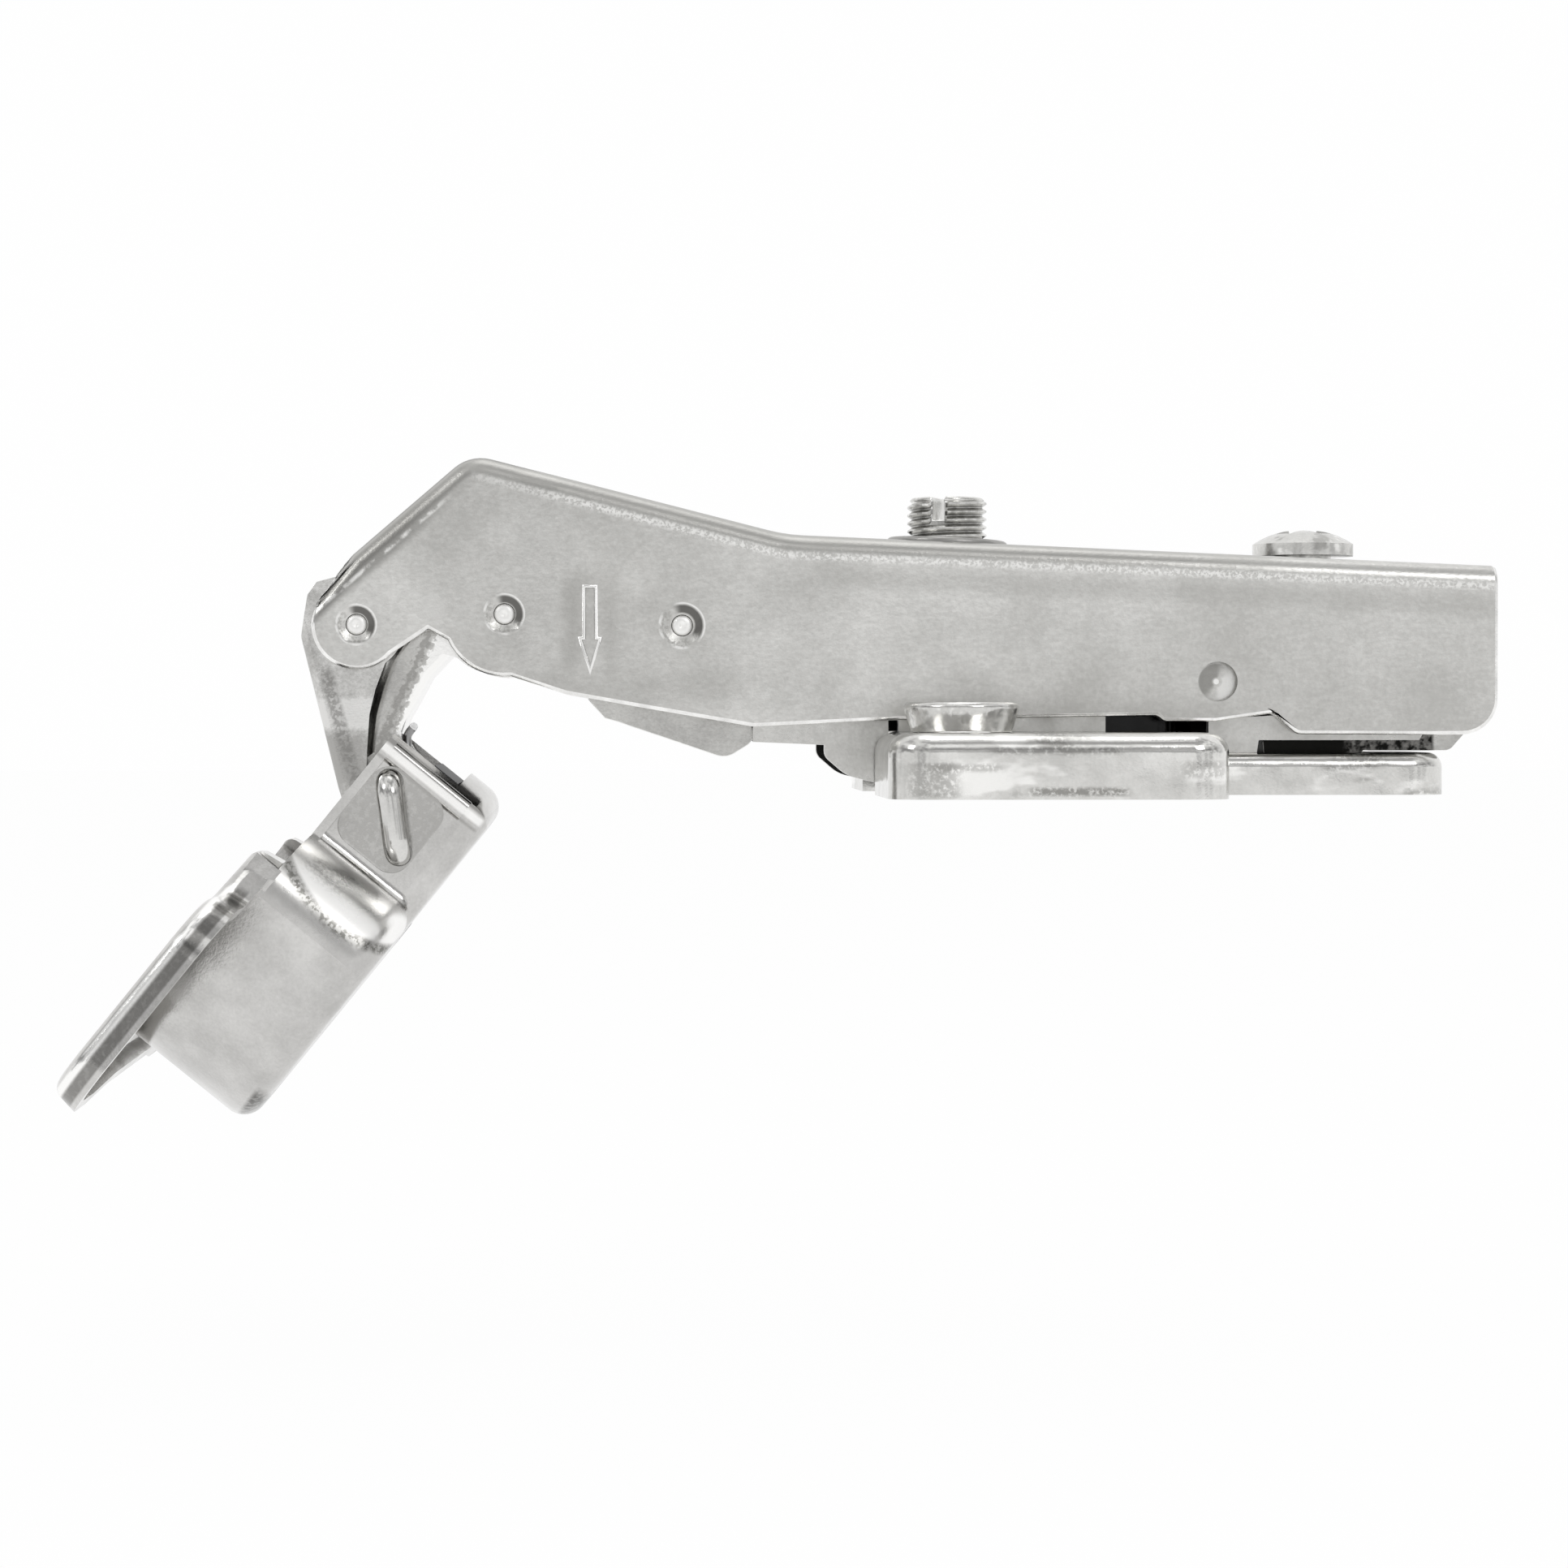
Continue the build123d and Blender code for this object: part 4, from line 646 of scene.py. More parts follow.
def thread_surface():
    """Helix of a V profile: at angle u its middle is at height start + pitch u / 2 pi, and a
    profile point stands out from the root circle by its rise, which runs out to below the
    body's surface at both ends and drops there within the slot. Gives points and faces."""
    turns = (THREAD_TO - THREAD_FROM) / THREAD_PITCH
    u = np.linspace(0, 2 * math.pi * turns, int(turns * STEPS_A_TURN))[:, None]
    across = np.array([-0.5, -0.1, 0.1, 0.5])[None, :] * THREAD_PITCH
    high = THREAD_CREST - THREAD_ROOT
    rise = np.array([-THREAD_SUNK, high, high, -THREAD_SUNK])[None, :]
    level = THREAD_FROM + THREAD_PITCH * u / (2 * math.pi)
    runout = np.clip(np.minimum(u, u[-1] - u) / THREAD_RUNOUT, 0, 1)
    off_slot = np.abs(np.cos(u) * math.sin(SLOT_TURN) - np.sin(u) * math.cos(SLOT_TURN)) * THREAD_ROOT
    in_slot = (off_slot < SLOT_HALF + 0.1) & (level > SLOT_FLOOR - 0.2)
    rise = np.where(in_slot, -THREAD_SUNK, rise * runout - THREAD_SUNK * (1 - runout))
    ring = THREAD_ROOT + rise
    x, y, z = SCREW_X + ring * np.cos(u), ring * np.sin(u), level + across + 0 * ring
    kept = ~in_slot[:-1, 0] | ~in_slot[1:, 0]
    return np.stack([x, y, z], axis=-1) * MM, grid_faces(len(u), 4)[np.repeat(kept, 3)]


thread_mesh = new_mesh("side_screw_thread", *thread_surface(), screw_plating)
for polygon in thread_mesh.polygons:
    polygon.use_smooth = False
side_thread = new_piece("side_screw_thread", thread_mesh)
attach(side_thread, nodes["side_screw"]["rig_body"])

# Depth screw: zinc plated pan head screw with a cross recess, turned into the bracket
# through the roof's slot.
broken_edges("depth_screw", 0.12, screw_plating)

# Arm: folded channel of satin plated sheet with a hump and a narrow nose. Its roof bend is painted
# grey, a speckled painted highlight runs just below it, the sheet below that is a shade deeper in
# painted shade, and its lower edges carry a painted highlight.
HUMP_TOP = (-39.83, 0, 28.28)
REAR_START = (-13.70, 0, 21.62)
RIVET_CENTRES = ((-49.19, 14.11), (-36.99, 14.98), (-22.30, 14.03))
RIVET_DIMPLES = (1.0, 1.0, 1.12)
GUIDE_CENTRE = (22.09, 9.41)
GUIDE_DIMPLE = 0.95
# colours of painted shade, of fine grain and painted shade, and of painted glints
ARM_SHADE = (0.36, 0.355, 0.335)
DUST_AND_SHADE = (0.40, 0.395, 0.375)
PAINTED_GLINT = (0.98, 0.975, 0.96)
# soft zones of painted shade beside the arrow and along the lower edge: x and z from and to in mm,
# softness and share
ARM_ZONES = (
    (-32.2, -30.7, 10.5, 18.0, 0.9, 0.42), (-28.6, -27.8, 9.5, 18.5, 0.9, 0.35),
    (-40.5, -18.0, 7.5, 10.2, 1.5, 0.28), (-6.0, 24.0, 6.3, 7.6, 1.0, 0.22),
)
arm_plating = plated_finish(
    "arm_plating", (0.78, 0.775, 0.753), (0.57, 0.565, 0.545), (0.28, 0.42), grain=1.0, grain_size=2600.0,
    wave=1.5, clouds=75.0,
)
tree = arm_plating.node_tree
spot = place_of(arm_plating)
x_mm, y_mm, z_mm = axes_of(tree, spot, "X", "Y", "Z")
out_y = combine(tree, "ABSOLUTE", y_mm)
side_only = soft_step(tree, out_y, 6.9, 7.35)
# depth below the roof's outline: the lower of the nose's line and the upper of hump and rear
nose_line = along_axis(tree, spot, HUMP_TOP, (0.652, 0, -0.758))
hump_line = along_axis(tree, spot, HUMP_TOP, (-0.247, 0, -0.969))
rear_line = along_axis(tree, spot, REAR_START, (-0.043, 0, -0.999))
top_line = combine(tree, "MAXIMUM", hump_line, rear_line)
below = combine(tree, "MINIMUM", nose_line, top_line)
nose = soft_step(tree, combine(tree, "SUBTRACT", nose_line, top_line), -0.8, 0.4, 1.0, 0.0)
fine = speckle(tree, spot, 0.13, 0.5, blur=0.06)
coarse = speckle(tree, spot, 0.5, 0.5, blur=0.10)
dust = speckle(tree, spot, 0.24, 0.5, stretch=(0.6, 1.0, 1.5), blur=0.09)
overlay(arm_plating, DUST_AND_SHADE, dust, 0.16)
# the bend: painted grey outside, a speckled painted highlight just below it, painted shade below that
bend = times(tree, soft_step(tree, below, 1.1, 1.7, 1.0, 0.0), soft_step(tree, out_y, 6.1, 6.7))
overlay(arm_plating, (0.46, 0.455, 0.435), bend, soft_step(tree, x_mm, 12.0, 34.0, 0.85, 0.25))
band = times(tree, plateau(tree, top_line, 1.45, 2.05, 0.25), soft_step(tree, nose, 0.3, 0.7, 1.0, 0.0))
overlay(arm_plating, PAINTED_HIGHLIGHT, band, soft_step(tree, x_mm, -40.0, -30.0, 0.35, 1.0), fine, 0.85)
deeper = plateau(tree, top_line, 2.6, 4.2, 0.6)
overlay(arm_plating, DUST_AND_SHADE, deeper, soft_step(tree, x_mm, -14.0, -8.0), 0.30)
# nose: a broken painted highlight along its bend line, with a strip of painted shade above it
strip = times(tree, plateau(tree, nose_line, 0.2, 2.2, 0.4), nose, side_only)
overlay(arm_plating, PAINTED_DARK, strip, soft_step(tree, x_mm, -46.0, -40.5, 0.75, 0.2))
crease = times(tree, plateau(tree, nose_line, 1.5, 1.8, 0.12), nose, coarse)
overlay(arm_plating, (0.95, 0.945, 0.925), crease, soft_step(tree, x_mm, -43.0, -41.0, 0.9, 0.0))
# painted shade on the inner faces, then the zones of painted shade and a pale oval of painted highlight on the
# flanges
overlay(arm_plating, (0.30, 0.295, 0.285), soft_step(tree, out_y, 6.65, 6.8, 0.8, 0.0))
for x0, x1, z0, z1, soft, share in ARM_ZONES:
    overlay(arm_plating, ARM_SHADE, plateau(tree, x_mm, x0, x1, soft), plateau(tree, z_mm, z0, z1, soft), share)
oval = vector_step(tree, "MULTIPLY_ADD", spot, (1.0, 0.0, 0.82), (42.95, 0.0, -12.6))
reach = vector_step(tree, "LENGTH", oval.outputs[0]).outputs["Value"]
overlay(arm_plating, (0.72, 0.715, 0.695), soft_step(tree, reach, 0.95, 1.15, 0.55, 0.0))


def round_dimple(tree, spot, centre, size, toward):
    """Distance from a dimple's centre in parts of its size, and how far the point lies
    toward a side of it, from -1 to 1."""
    flat = vector_step(tree, "MULTIPLY_ADD", spot, (1.0, 0.0, 1.0), (-centre[0], 0.0, -centre[1]))
    radius = vector_step(tree, "LENGTH", flat.outputs[0]).outputs["Value"]
    unit = vector_step(tree, "NORMALIZE", flat.outputs[0]).outputs[0]
    return combine(tree, "DIVIDE", radius, size), along_axis(tree, unit, (0, 0, 0), toward)


# dimples round the rivets: a crescent of painted shade and a painted highlight arc beyond it on one side, speckled
# painted shade and painted glints on the other
for centre, size in zip(RIVET_CENTRES, RIVET_DIMPLES):
    r, side = round_dimple(tree, spot, centre, size, (0.82, 0, 0.57))
    hollow = times(tree, plateau(tree, r, 0.95, 1.52, 0.08), soft_step(tree, side, 0.0, 0.55))
    overlay(arm_plating, (0.13, 0.127, 0.12), hollow, 0.95)
    lower = times(tree, plateau(tree, r, 1.0, 1.6, 0.1), soft_step(tree, side, 0.1, -0.4))
    overlay(arm_plating, ARM_SHADE, lower, fine, 0.5)
    arc = times(tree, plateau(tree, r, 1.60, 1.72, 0.05), soft_step(tree, side, 0.1, 0.6))
    overlay(arm_plating, PAINTED_GLINT, arc, 0.95)
    spark = times(tree, plateau(tree, r, 1.55, 1.75, 0.05), soft_step(tree, side, -0.1, -0.6))
    overlay(arm_plating, PAINTED_GLINT, spark, coarse, 0.8)
# guide dimple: a cone pressed in, with painted shade on the left and painted highlights on the right and at its
# bottom
r, side = round_dimple(tree, spot, GUIDE_CENTRE, GUIDE_DIMPLE, (-0.9, 0, 0.43))
hollow = times(tree, plateau(tree, r, 0.35, 1.55, 0.08), soft_step(tree, side, -0.2, 0.5))
overlay(arm_plating, (0.26, 0.255, 0.24), hollow, 0.75)
lit_side = times(tree, plateau(tree, r, 0.5, 1.6, 0.08), soft_step(tree, side, -0.3, -0.7))
overlay(arm_plating, (0.88, 0.875, 0.86), lit_side, 0.7)
overlay(arm_plating, PAINTED_GLINT, soft_step(tree, r, 0.20, 0.28, 1.0, 0.0))


def crisp_on_arm(middle):
    """Edges of the arm that stay sharp: roof, arrow and dimples."""
    marks = RIVET_CENTRES + (GUIDE_CENTRE,)
    in_mark = any(math.hypot(middle.x - cx, middle.z - cz) < 2.2 for cx, cz in marks)
    in_arrow = -31.5 < middle.x < -28.2 and 9.6 < middle.z < 18.0
    return abs(middle.y) < 6.2 or in_mark or in_arrow


broken_edges("hinge_arm", 0.30, arm_plating, clamp=False, keep=crisp_on_arm)

# Arrow on the near flange: a plain outline pressed up out of the sheet. A low round bead
# stands for its bright edge.
ARROW_OUTLINE = (
    (-30.42, 17.27), (-29.40, 17.27), (-29.40, 12.97), (-29.06, 12.97), (-29.90, 10.28), (-30.76, 12.97),
    (-30.42, 12.97),
)
ARROW_FACE = -7.98
BEAD_HALF = 0.13
BEAD_HIGH = 0.09
BEAD_ROWS = 5
# the bead is paler than the arm, a painted highlight
arrow_plating = plated_finish(
    "arrow_plating", (0.92, 0.915, 0.90), (0.84, 0.835, 0.82), (0.16, 0.26), grain=0.6, wave=1.0, clouds=600.0
)


def bead_along(path, y, half_width, high, rows):
    """Low round bead along a closed path of the side view: at each corner its section, half a
    circle of half_width pressed to the given height, is turned to the mean of the two runs."""
    before = path - np.roll(path, 1, axis=0)
    after = np.roll(path, -1, axis=0) - path
    before = before / np.linalg.norm(before, axis=1, keepdims=True)
    after = after / np.linalg.norm(after, axis=1, keepdims=True)
    mean = before + after
    mean = mean / np.linalg.norm(mean, axis=1, keepdims=True)
    side = np.stack([-mean[:, 1], mean[:, 0]], axis=1)
    square = np.stack([-after[:, 1], after[:, 0]], axis=1)
    stretch = 1 / np.clip(np.abs((side * square).sum(axis=1)), 0.35, 1)
    turn = np.linspace(-math.pi / 2, math.pi / 2, rows)
    offset = half_width * np.sin(turn)[None, :, None] * side[:, None, :] * stretch[:, None, None]
    flat = path[:, None, :] + offset
    up = y - high * np.cos(turn)[None, :] + 0 * flat[:, :, 0]
    points = np.stack([flat[:, :, 0], up, flat[:, :, 1]], axis=-1)
    return np.concatenate([points, points[:1]], axis=0) * MM


arrow_points = bead_along(np.array(ARROW_OUTLINE), ARROW_FACE, BEAD_HALF, BEAD_HIGH, BEAD_ROWS)
arrow_mesh = new_mesh("arm_arrow", arrow_points, grid_faces(len(arrow_points), BEAD_ROWS), arrow_plating)
arm_arrow = new_piece("arm_arrow", arrow_mesh)
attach(arm_arrow, nodes["hinge_arm"]["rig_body"])

# Rivets: pale steel shanks across the arm, whose ends are peened to low domes with the
# mark of the peening punch in the middle. Each sits in a dimple of the flange.
RIVET_NECK = 0.89
RIVET_BODY = 1.4
RIVET_STEPS = 48
# radius of the dome and its height over the end's reach, from the punch mark outwards
RIVET_DOME = (
    (0.0, -0.10), (0.14, -0.07), (0.26, 0.02), (0.45, 0.03), (0.68, -0.04), (0.82, -0.16), (RIVET_NECK, -0.34),
)
rivet_plating = plated_finish(
    "rivet_plating", (1.0, 0.995, 0.98), (0.94, 0.935, 0.92), (0.45, 0.55), grain=0.5, wave=0.5, clouds=700.0
)


def turned_rivet(node, centre, shank_half, end_half):
    """Surface turned about an axis along Y through centre: radius r at each y is swept round,
    x = cx + r cos u, z = cz + r sin u. The outline runs from one domed end to the other."""
    dome = np.array(RIVET_DOME) + (0.0, end_half)
    body = [(RIVET_NECK, shank_half), (RIVET_BODY, shank_half), (RIVET_BODY, 0.0)]
    half = np.concatenate([dome, body], axis=0)
    outline = np.concatenate([half * (1, -1), half[::-1][1:]], axis=0)
    u = np.linspace(0, 2 * math.pi, RIVET_STEPS, endpoint=False)[None, :]
    r, y = outline[:, 0][:, None], outline[:, 1][:, None]
    points = np.stack([centre[0] + r * np.cos(u), y + 0 * u, centre[1] + r * np.sin(u)], axis=-1) * MM
    faces = grid_faces(len(outline), RIVET_STEPS, wrap=True)
    mesh = new_mesh(node + "_piece", points, faces, rivet_plating)
    mesh.set_sharp_from_angle(angle=math.radians(50))
    piece = new_piece(node + "_piece", mesh)
    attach(piece, nodes[node]["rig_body"])
    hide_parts(node)


turned_rivet("outer_link_rivet", RIVET_CENTRES[0], 6.4, 7.45)
turned_rivet("inner_link_rivet", RIVET_CENTRES[1], 6.4, 7.45)
turned_rivet("damper_rivet", RIVET_CENTRES[2], 6.8, 7.85)

# Damper: grey plastic cylinder in a saddle under the hump, with a steel piston rod that a
# rocker of bent sheet draws out. The rocker's lower end shows below the arm.
link_plating = plated_finish(
    "link_plating", (0.62, 0.615, 0.595), (0.42, 0.415, 0.40), (0.18, 0.30), grain=0.7, wave=2.5, clouds=150.0
)
broken_edges("damper_rocker", 0.15, link_plating)


def moulded_plastic(name, low, high):
    """Material of a moulded piece: two near tones and a fine relief of the mould's skin."""
    finish = bpy.data.materials.new(name)
    finish.use_nodes = True
    tree = finish.node_tree
    shader = tree.nodes["Principled BSDF"]
    shader.inputs["Roughness"].default_value = 0.5
    place = tree.nodes.new("ShaderNodeTexCoord")
    moulding = tree.nodes.new("ShaderNodeTexNoise")
    moulding.inputs["Scale"].default_value = 900.0
    moulding.inputs["Detail"].default_value = 3.0
    tree.links.new(place.outputs["Object"], moulding.inputs["Vector"])
    tone = tree.nodes.new("ShaderNodeMix")
    tone.data_type = "RGBA"
    tone.inputs["A"].default_value = low + (1,)
    tone.inputs["B"].default_value = high + (1,)
    tree.links.new(moulding.outputs["Fac"], tone.inputs["Factor"])
    tree.links.new(tone.outputs["Result"], shader.inputs["Base Color"])
    relief = tree.nodes.new("ShaderNodeBump")
    relief.inputs["Distance"].default_value = 0.01 * MM
    tree.links.new(moulding.outputs["Fac"], relief.inputs["Height"])
    tree.links.new(relief.outputs["Normal"], shader.inputs["Normal"])
    return finish


grey_plastic = moulded_plastic("grey_plastic", (0.33, 0.33, 0.34), (0.38, 0.38, 0.39))
repaint("damper_cylinder", grey_plastic)
repaint("damper_holder", grey_plastic)
repaint("damper_rod", pin_plating)

# Outer link: channel from the arm's nose down to the cup's second pivot. Its web faces the
# left, and the flange has a painted pale reflection across its middle.
outer_plating = plated_finish(
    "outer_link_plating", (0.74, 0.735, 0.72), (0.42, 0.415, 0.40), (0.16, 0.28), grain=0.8, wave=3.0, clouds=260.0
)
tree = outer_plating.node_tree
spot = place_of(outer_plating)
(z_mm,) = axes_of(tree, spot, "Z")
# painted pale reflection across the middle of the flange, which is darker towards its bottom
pale = times(tree, soft_step(tree, z_mm, 5.2, 5.8), soft_step(tree, z_mm, 7.6, 8.3, 1.0, 0.0), 0.7)
low = combine(tree, "ADD", soft_step(tree, z_mm, 4.4, 5.6, 0.55, 0.0), 0.12)
tree.links.new(combine(tree, "SUBTRACT", low, pale), tree.nodes["plating"].inputs["Deepening"])
fine = speckle(tree, spot, 0.18, 0.55, blur=0.09)
# painted dark reflection in a band beside the web
web = along_axis(tree, spot, (-53.9, 0, 12.3), (0.965, 0, 0.262))
web_band = times(tree, plateau(tree, web, 0.9, 2.0, 0.25), soft_step(tree, z_mm, 11.5, 10.0))
overlay(outer_plating, (0.22, 0.215, 0.205), web_band, soft_step(tree, fine, 0.0, 1.0, 0.4, 1.0), 0.7)
broken_edges("outer_link", 0.3, outer_plating)

# Inner link: bowed bar, forked at both ends, between the arm's second rivet and the cup's
# first pivot. Its right side shows a painted white highlight with a band of painted shade beside it.
inner_plating = plated_finish(
    "inner_link_plating", (0.62, 0.615, 0.595), (0.42, 0.415, 0.40), (0.18, 0.30), grain=0.7, wave=2.5, clouds=150.0
)
# white of painted highlights on this link, the cup's rim, hinge end and shoulders
WHITE_HIGHLIGHT = (1.0, 0.995, 0.98)
tree = inner_plating.node_tree
spot = place_of(inner_plating)
ragged = combine(tree, "SUBTRACT", speckle(tree, spot, 0.25, 0.5, blur=0.1), 0.5)
bow = along_axis(tree, spot, (-43.6, 0, 8.3), (0.917, 0, -0.399))
bow = combine(tree, "ADD", bow, times(tree, ragged, 0.35))
# painted white highlight along the right side, painted shade beside it
overlay(inner_plating, WHITE_HIGHLIGHT, soft_step(tree, bow, -1.3, -1.0))
overlay(inner_plating, (0.26, 0.255, 0.24), plateau(tree, bow, -2.1, -1.5, 0.15), 0.6)
broken_edges("inner_link", 0.3, inner_plating)

# Cup: deep drawn from bright plated sheet, with raised wings whose rim is turned down and
# a narrow hinge end. Pressing leaves it glossy and slightly wavy.
CORNER = (-46.11, 0, 5.11)
ALONG = (-0.6293, 0, -0.7771)
DEEP = (0.7771, 0, -0.6293)
# colour of painted shade on the cup
CUP_SHADE = (0.40, 0.395, 0.38)
# bands of painted dark reflection and painted highlight on the rounded hinge end and its beads: from
# and to in mm along the cup, softness, share and colour
HINGE_END_BANDS = (
    (0.30, 0.75, 0.12, 0.75, (0.22, 0.215, 0.205)), (0.95, 1.6, 0.15, 0.9, WHITE_HIGHLIGHT),
    (1.95, 2.2, 0.15, 0.55, (0.26, 0.255, 0.24)),
)
cup_plating = plated_finish(
    "cup_plating", (0.67, 0.663, 0.648), (0.52, 0.513, 0.50), (0.12, 0.22), grain=0.35, wave=5.0,
    wave_size=220.0, clouds=160.0,
)
tree = cup_plating.node_tree
spot = place_of(cup_plating)
(y_mm,) = axes_of(tree, spot, "Y")
along = along_axis(tree, spot, CORNER, ALONG)
deep = along_axis(tree, spot, CORNER, DEEP)
out_y = combine(tree, "ABSOLUTE", y_mm)
fine = speckle(tree, spot, 0.20, 0.62, blur=0.10)
# rim of the wings: a painted white highlight above a band of painted dark reflection
rim = soft_step(tree, out_y, 18.6, 19.4)
overlay(cup_plating, WHITE_HIGHLIGHT, rim, plateau(tree, deep, -2.1, -1.5, 0.12))
rim_side = times(tree, rim, plateau(tree, deep, -1.4, -0.45, 0.12))
overlay(cup_plating, (0.24, 0.235, 0.225), rim_side, soft_step(tree, fine, 0.0, 1.0, 0.80, 0.92))
# painted bands across the narrow hinge end
narrow = times(tree, soft_step(tree, out_y, 6.6, 7.0), soft_step(tree, out_y, 8.4, 8.8, 1.0, 0.0))
for start, end, soft, share, colour in HINGE_END_BANDS:
    overlay(cup_plating, colour, narrow, plateau(tree, along, start, end, soft), share)
# pocket of the cheek round the bent pin: a recess in speckled painted shade
pocket = times(tree, plateau(tree, along, 1.95, 9.45, 0.15), plateau(tree, deep, 0.80, 7.75, 0.15))
pocket = times(tree, pocket, plateau(tree, out_y, 6.8, 7.12, 0.05))
overlay(cup_plating, CUP_SHADE, pocket, soft_step(tree, fine, 0.0, 1.0, 0.55, 0.80))
# painted dark reflection, speckled, in the corner of the floor
corner = times(tree, soft_step(tree, deep, 9.5, 10.0), soft_step(tree, along, 28.8, 30.4))
overlay(cup_plating, (0.09, 0.088, 0.08), corner, soft_step(tree, fine, 0.0, 1.0, 0.6, 1.0))
broken_edges("hinge_cup", 0.25, cup_plating)

# Rounded shoulders between cheeks and boss, drawn with the cup: the sheet swells out there
# in one soft curve, which carries a painted white reflection and a painted dark one.
SHOULDER_CURVE = ((10.45, 7.32), (10.75, 17.42), (16.4, 17.42))
SHOULDER_STEPS = 25
SHOULDER_TOP = 0.1
SHOULDER_WALL = 8.9
SHOULDER_ROUND = 2.0
BOW_DEPTH = 6.2
BOW_AMOUNT = 0.045
shoulder_plating = plated_finish(
    "shoulder_plating", (0.67, 0.663, 0.648), (0.55, 0.543, 0.53), (0.24, 0.34), grain=0.35, wave=2.0,
    wave_size=220.0, clouds=160.0,
)
tree = shoulder_plating.node_tree
spot = place_of(shoulder_plating)
along = along_axis(tree, spot, CORNER, ALONG)
deep = along_axis(tree, spot, CORNER, DEEP)
fine = speckle(tree, spot, 0.16, 0.5, blur=0.08)
# both reflections end on a bowed line, which reaches furthest along the cup at one depth
from_middle = combine(tree, "SUBTRACT", deep, BOW_DEPTH)
turn = combine(tree, "ADD", along, times(tree, from_middle, from_middle, BOW_AMOUNT))
white = times(tree, plateau(tree, along, 10.9, 15.2, 0.5), soft_step(tree, turn, 13.8, 14.3, 1.0, 0.0))
overlay(shoulder_plating, WHITE_HIGHLIGHT, white)
# painted shade, speckled, on the shoulder's upper part
upper = times(tree, plateau(tree, along, 11.2, 12.6, 0.5), plateau(tree, deep, 1.4, 5.4, 1.2))
overlay(shoulder_plating, CUP_SHADE, upper, fine, 0.40)
dark = times(tree, plateau(tree, turn, 14.2, 15.0, 0.30), soft_step(tree, fine, 0.0, 1.0, 0.45, 1.0))
overlay(shoulder_plating, (0.17, 0.167, 0.155), dark, 0.95)


def shoulder_surface(way):
    """Outline (a, y) = (1 - t)^2 P0 + 2 t (1 - t) P1 + t^2 P2, swept over the cup's depth d.
    Past the straight wall it is pulled in along its normal by R (1 - cos v) while d grows by
    R sin v. The point is corner + a along + d deep, and y counts to the given side."""
    t = np.linspace(0, 1, SHOULDER_STEPS)[None, :, None]
    first, second, third = np.array(SHOULDER_CURVE)
    curve = (1 - t) ** 2 * first + 2 * t * (1 - t) * second + t ** 2 * third
    v = np.linspace(0.15, 1.0, 10) * math.pi / 2
    wall = np.linspace(SHOULDER_TOP, SHOULDER_WALL, 12)
    level = np.concatenate([wall, SHOULDER_WALL + SHOULDER_ROUND * np.sin(v)])
    pull = np.concatenate([0 * wall, SHOULDER_ROUND * (1 - np.cos(v))])[:, None]
    slope = np.gradient(curve[0], axis=0)
    normal = np.stack([-slope[:, 1], slope[:, 0]], axis=1)
    normal = normal / np.linalg.norm(normal, axis=1, keepdims=True)
    a = curve[..., 0] - normal[None, :, 0] * pull
    y = curve[..., 1] - normal[None, :, 1] * pull
    d = level[:, None] + 0 * a
    x, z = CORNER[0] + a * ALONG[0] + d * DEEP[0], CORNER[2] + a * ALONG[2] + d * DEEP[2]
    return np.stack([x, way * y, z], axis=-1) * MM


for way, side_name in ((-1, "near"), (1, "far")):
    points = shoulder_surface(way)
    mesh = new_mesh("cup_shoulder_" + side_name, points, grid_faces(*points.shape[:2]), shoulder_plating)
    shoulder = new_piece("cup_shoulder_" + side_name, mesh)
    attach(shoulder, nodes["hinge_cup"]["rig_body"])

# Bent pin: one polished steel rod whose two legs are the cup's pivots; the bend lies on
# the near cheek.
ROD = 1.1
ROD_BEND = 1.2
ROD_STEPS = 40
BEND_Y = 7.4 + ROD + 0.12
PIN_1 = np.array((-46.491, 1.095))
PIN_2 = np.array((-45.753, -4.778))


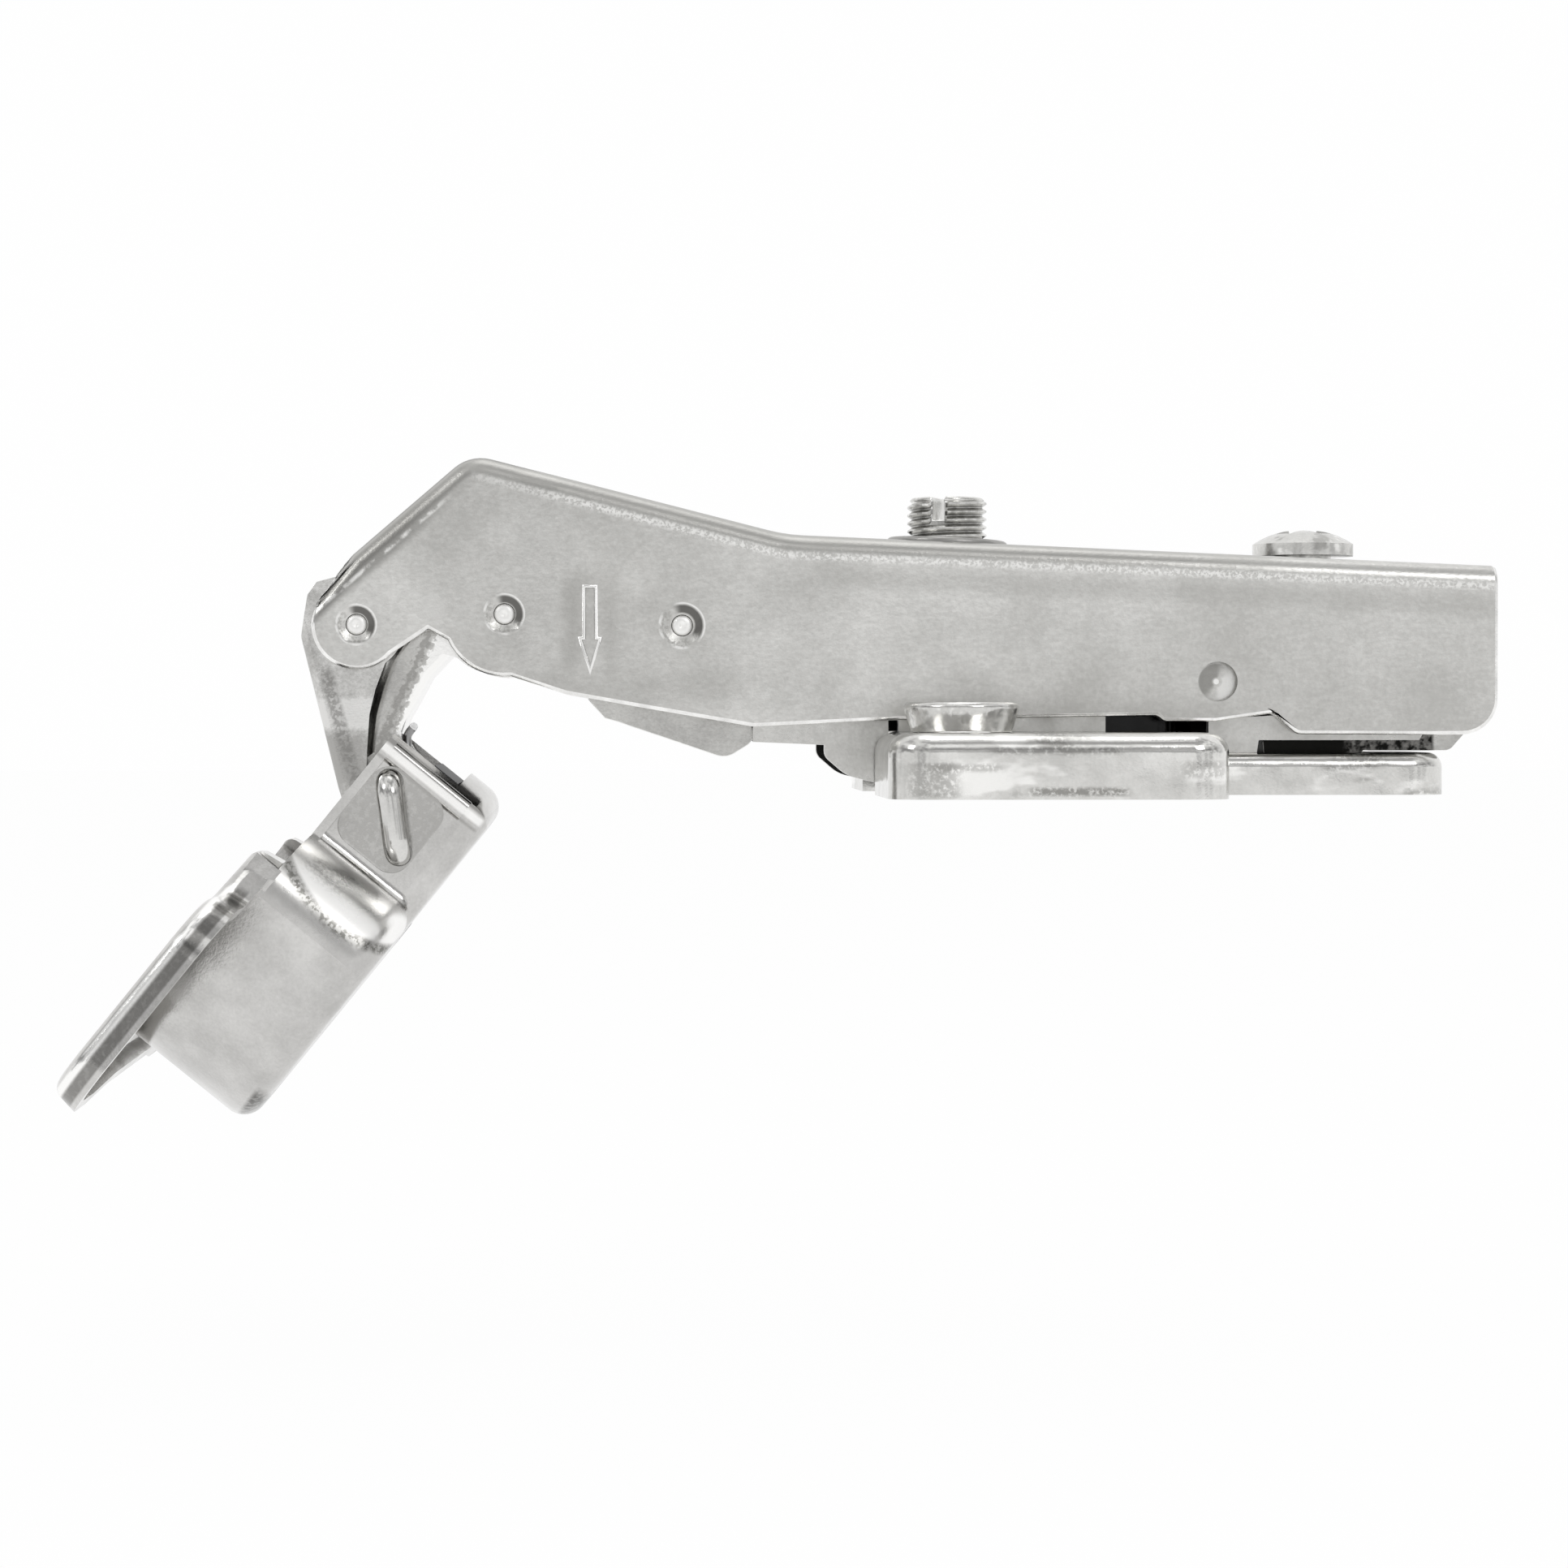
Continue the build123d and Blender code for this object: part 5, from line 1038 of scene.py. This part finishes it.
def bent_rod_surface():
    """Circle of the rod's radius swept along a U in the plane of both pins: down the first
    leg, a quarter turn, along the bend to the second pin, a quarter turn and back. s runs
    from pin to pin and y along the legs, and the thickness closes in to nought at both ends."""
    span = float(np.linalg.norm(PIN_2 - PIN_1))
    swing = np.linspace(0, math.pi / 2, 14)
    sine, cosine = ROD_BEND * np.sin(swing), ROD_BEND * np.cos(swing)
    s = np.concatenate([[0] * 4, ROD_BEND - cosine, span - ROD_BEND + sine, [span] * 4])
    y = np.concatenate([
        [8.3, 8.3, 8.1, 8.0], ROD_BEND - BEND_Y - sine, ROD_BEND - BEND_Y - cosine, [8.0, 8.1, 8.3, 8.3],
    ])
    thick = np.concatenate([[0, 0.75, 0.97, 1], np.ones(28), [1, 0.97, 0.75, 0]])[:, None] * ROD
    ds, dy = np.gradient(s), np.gradient(y)
    ds[:4], dy[:4], ds[-4:], dy[-4:] = 0, -1, 0, 1
    pace = np.hypot(ds, dy)[:, None]
    u = np.linspace(0, 2 * math.pi, ROD_STEPS, endpoint=False)[None, :]
    line = (PIN_2 - PIN_1) / span
    in_s = s[:, None] - thick * np.cos(u) * dy[:, None] / pace
    in_y = y[:, None] + thick * np.cos(u) * ds[:, None] / pace
    across = thick * np.sin(u)
    x = PIN_1[0] + in_s * line[0] - across * line[1]
    z = PIN_1[1] + in_s * line[1] + across * line[0]
    return np.stack([x, in_y, z], axis=-1) * MM


points = bent_rod_surface()
pin_mesh = new_mesh("cup_dual_pin_piece", points, grid_faces(len(points), ROD_STEPS, wrap=True), pin_plating)
bent_pin = new_piece("cup_dual_pin_piece", pin_mesh)
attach(bent_pin, nodes["cup_dual_pin"]["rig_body"])
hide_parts("cup_dual_pin")

# Closing spring on its pale sleeve, and the black block that takes its far leg: spring
# steel wire round moulded plastic, held on the bent pin's first leg.
white_plastic = moulded_plastic("white_plastic", (0.80, 0.80, 0.79), (0.88, 0.88, 0.87))
black_plastic = moulded_plastic("black_plastic", (0.030, 0.030, 0.032), (0.050, 0.050, 0.053))
repaint("pivot_sleeve", white_plastic)
repaint("closing_spring", spring_wire)
repaint("spring_carrier", black_plastic)
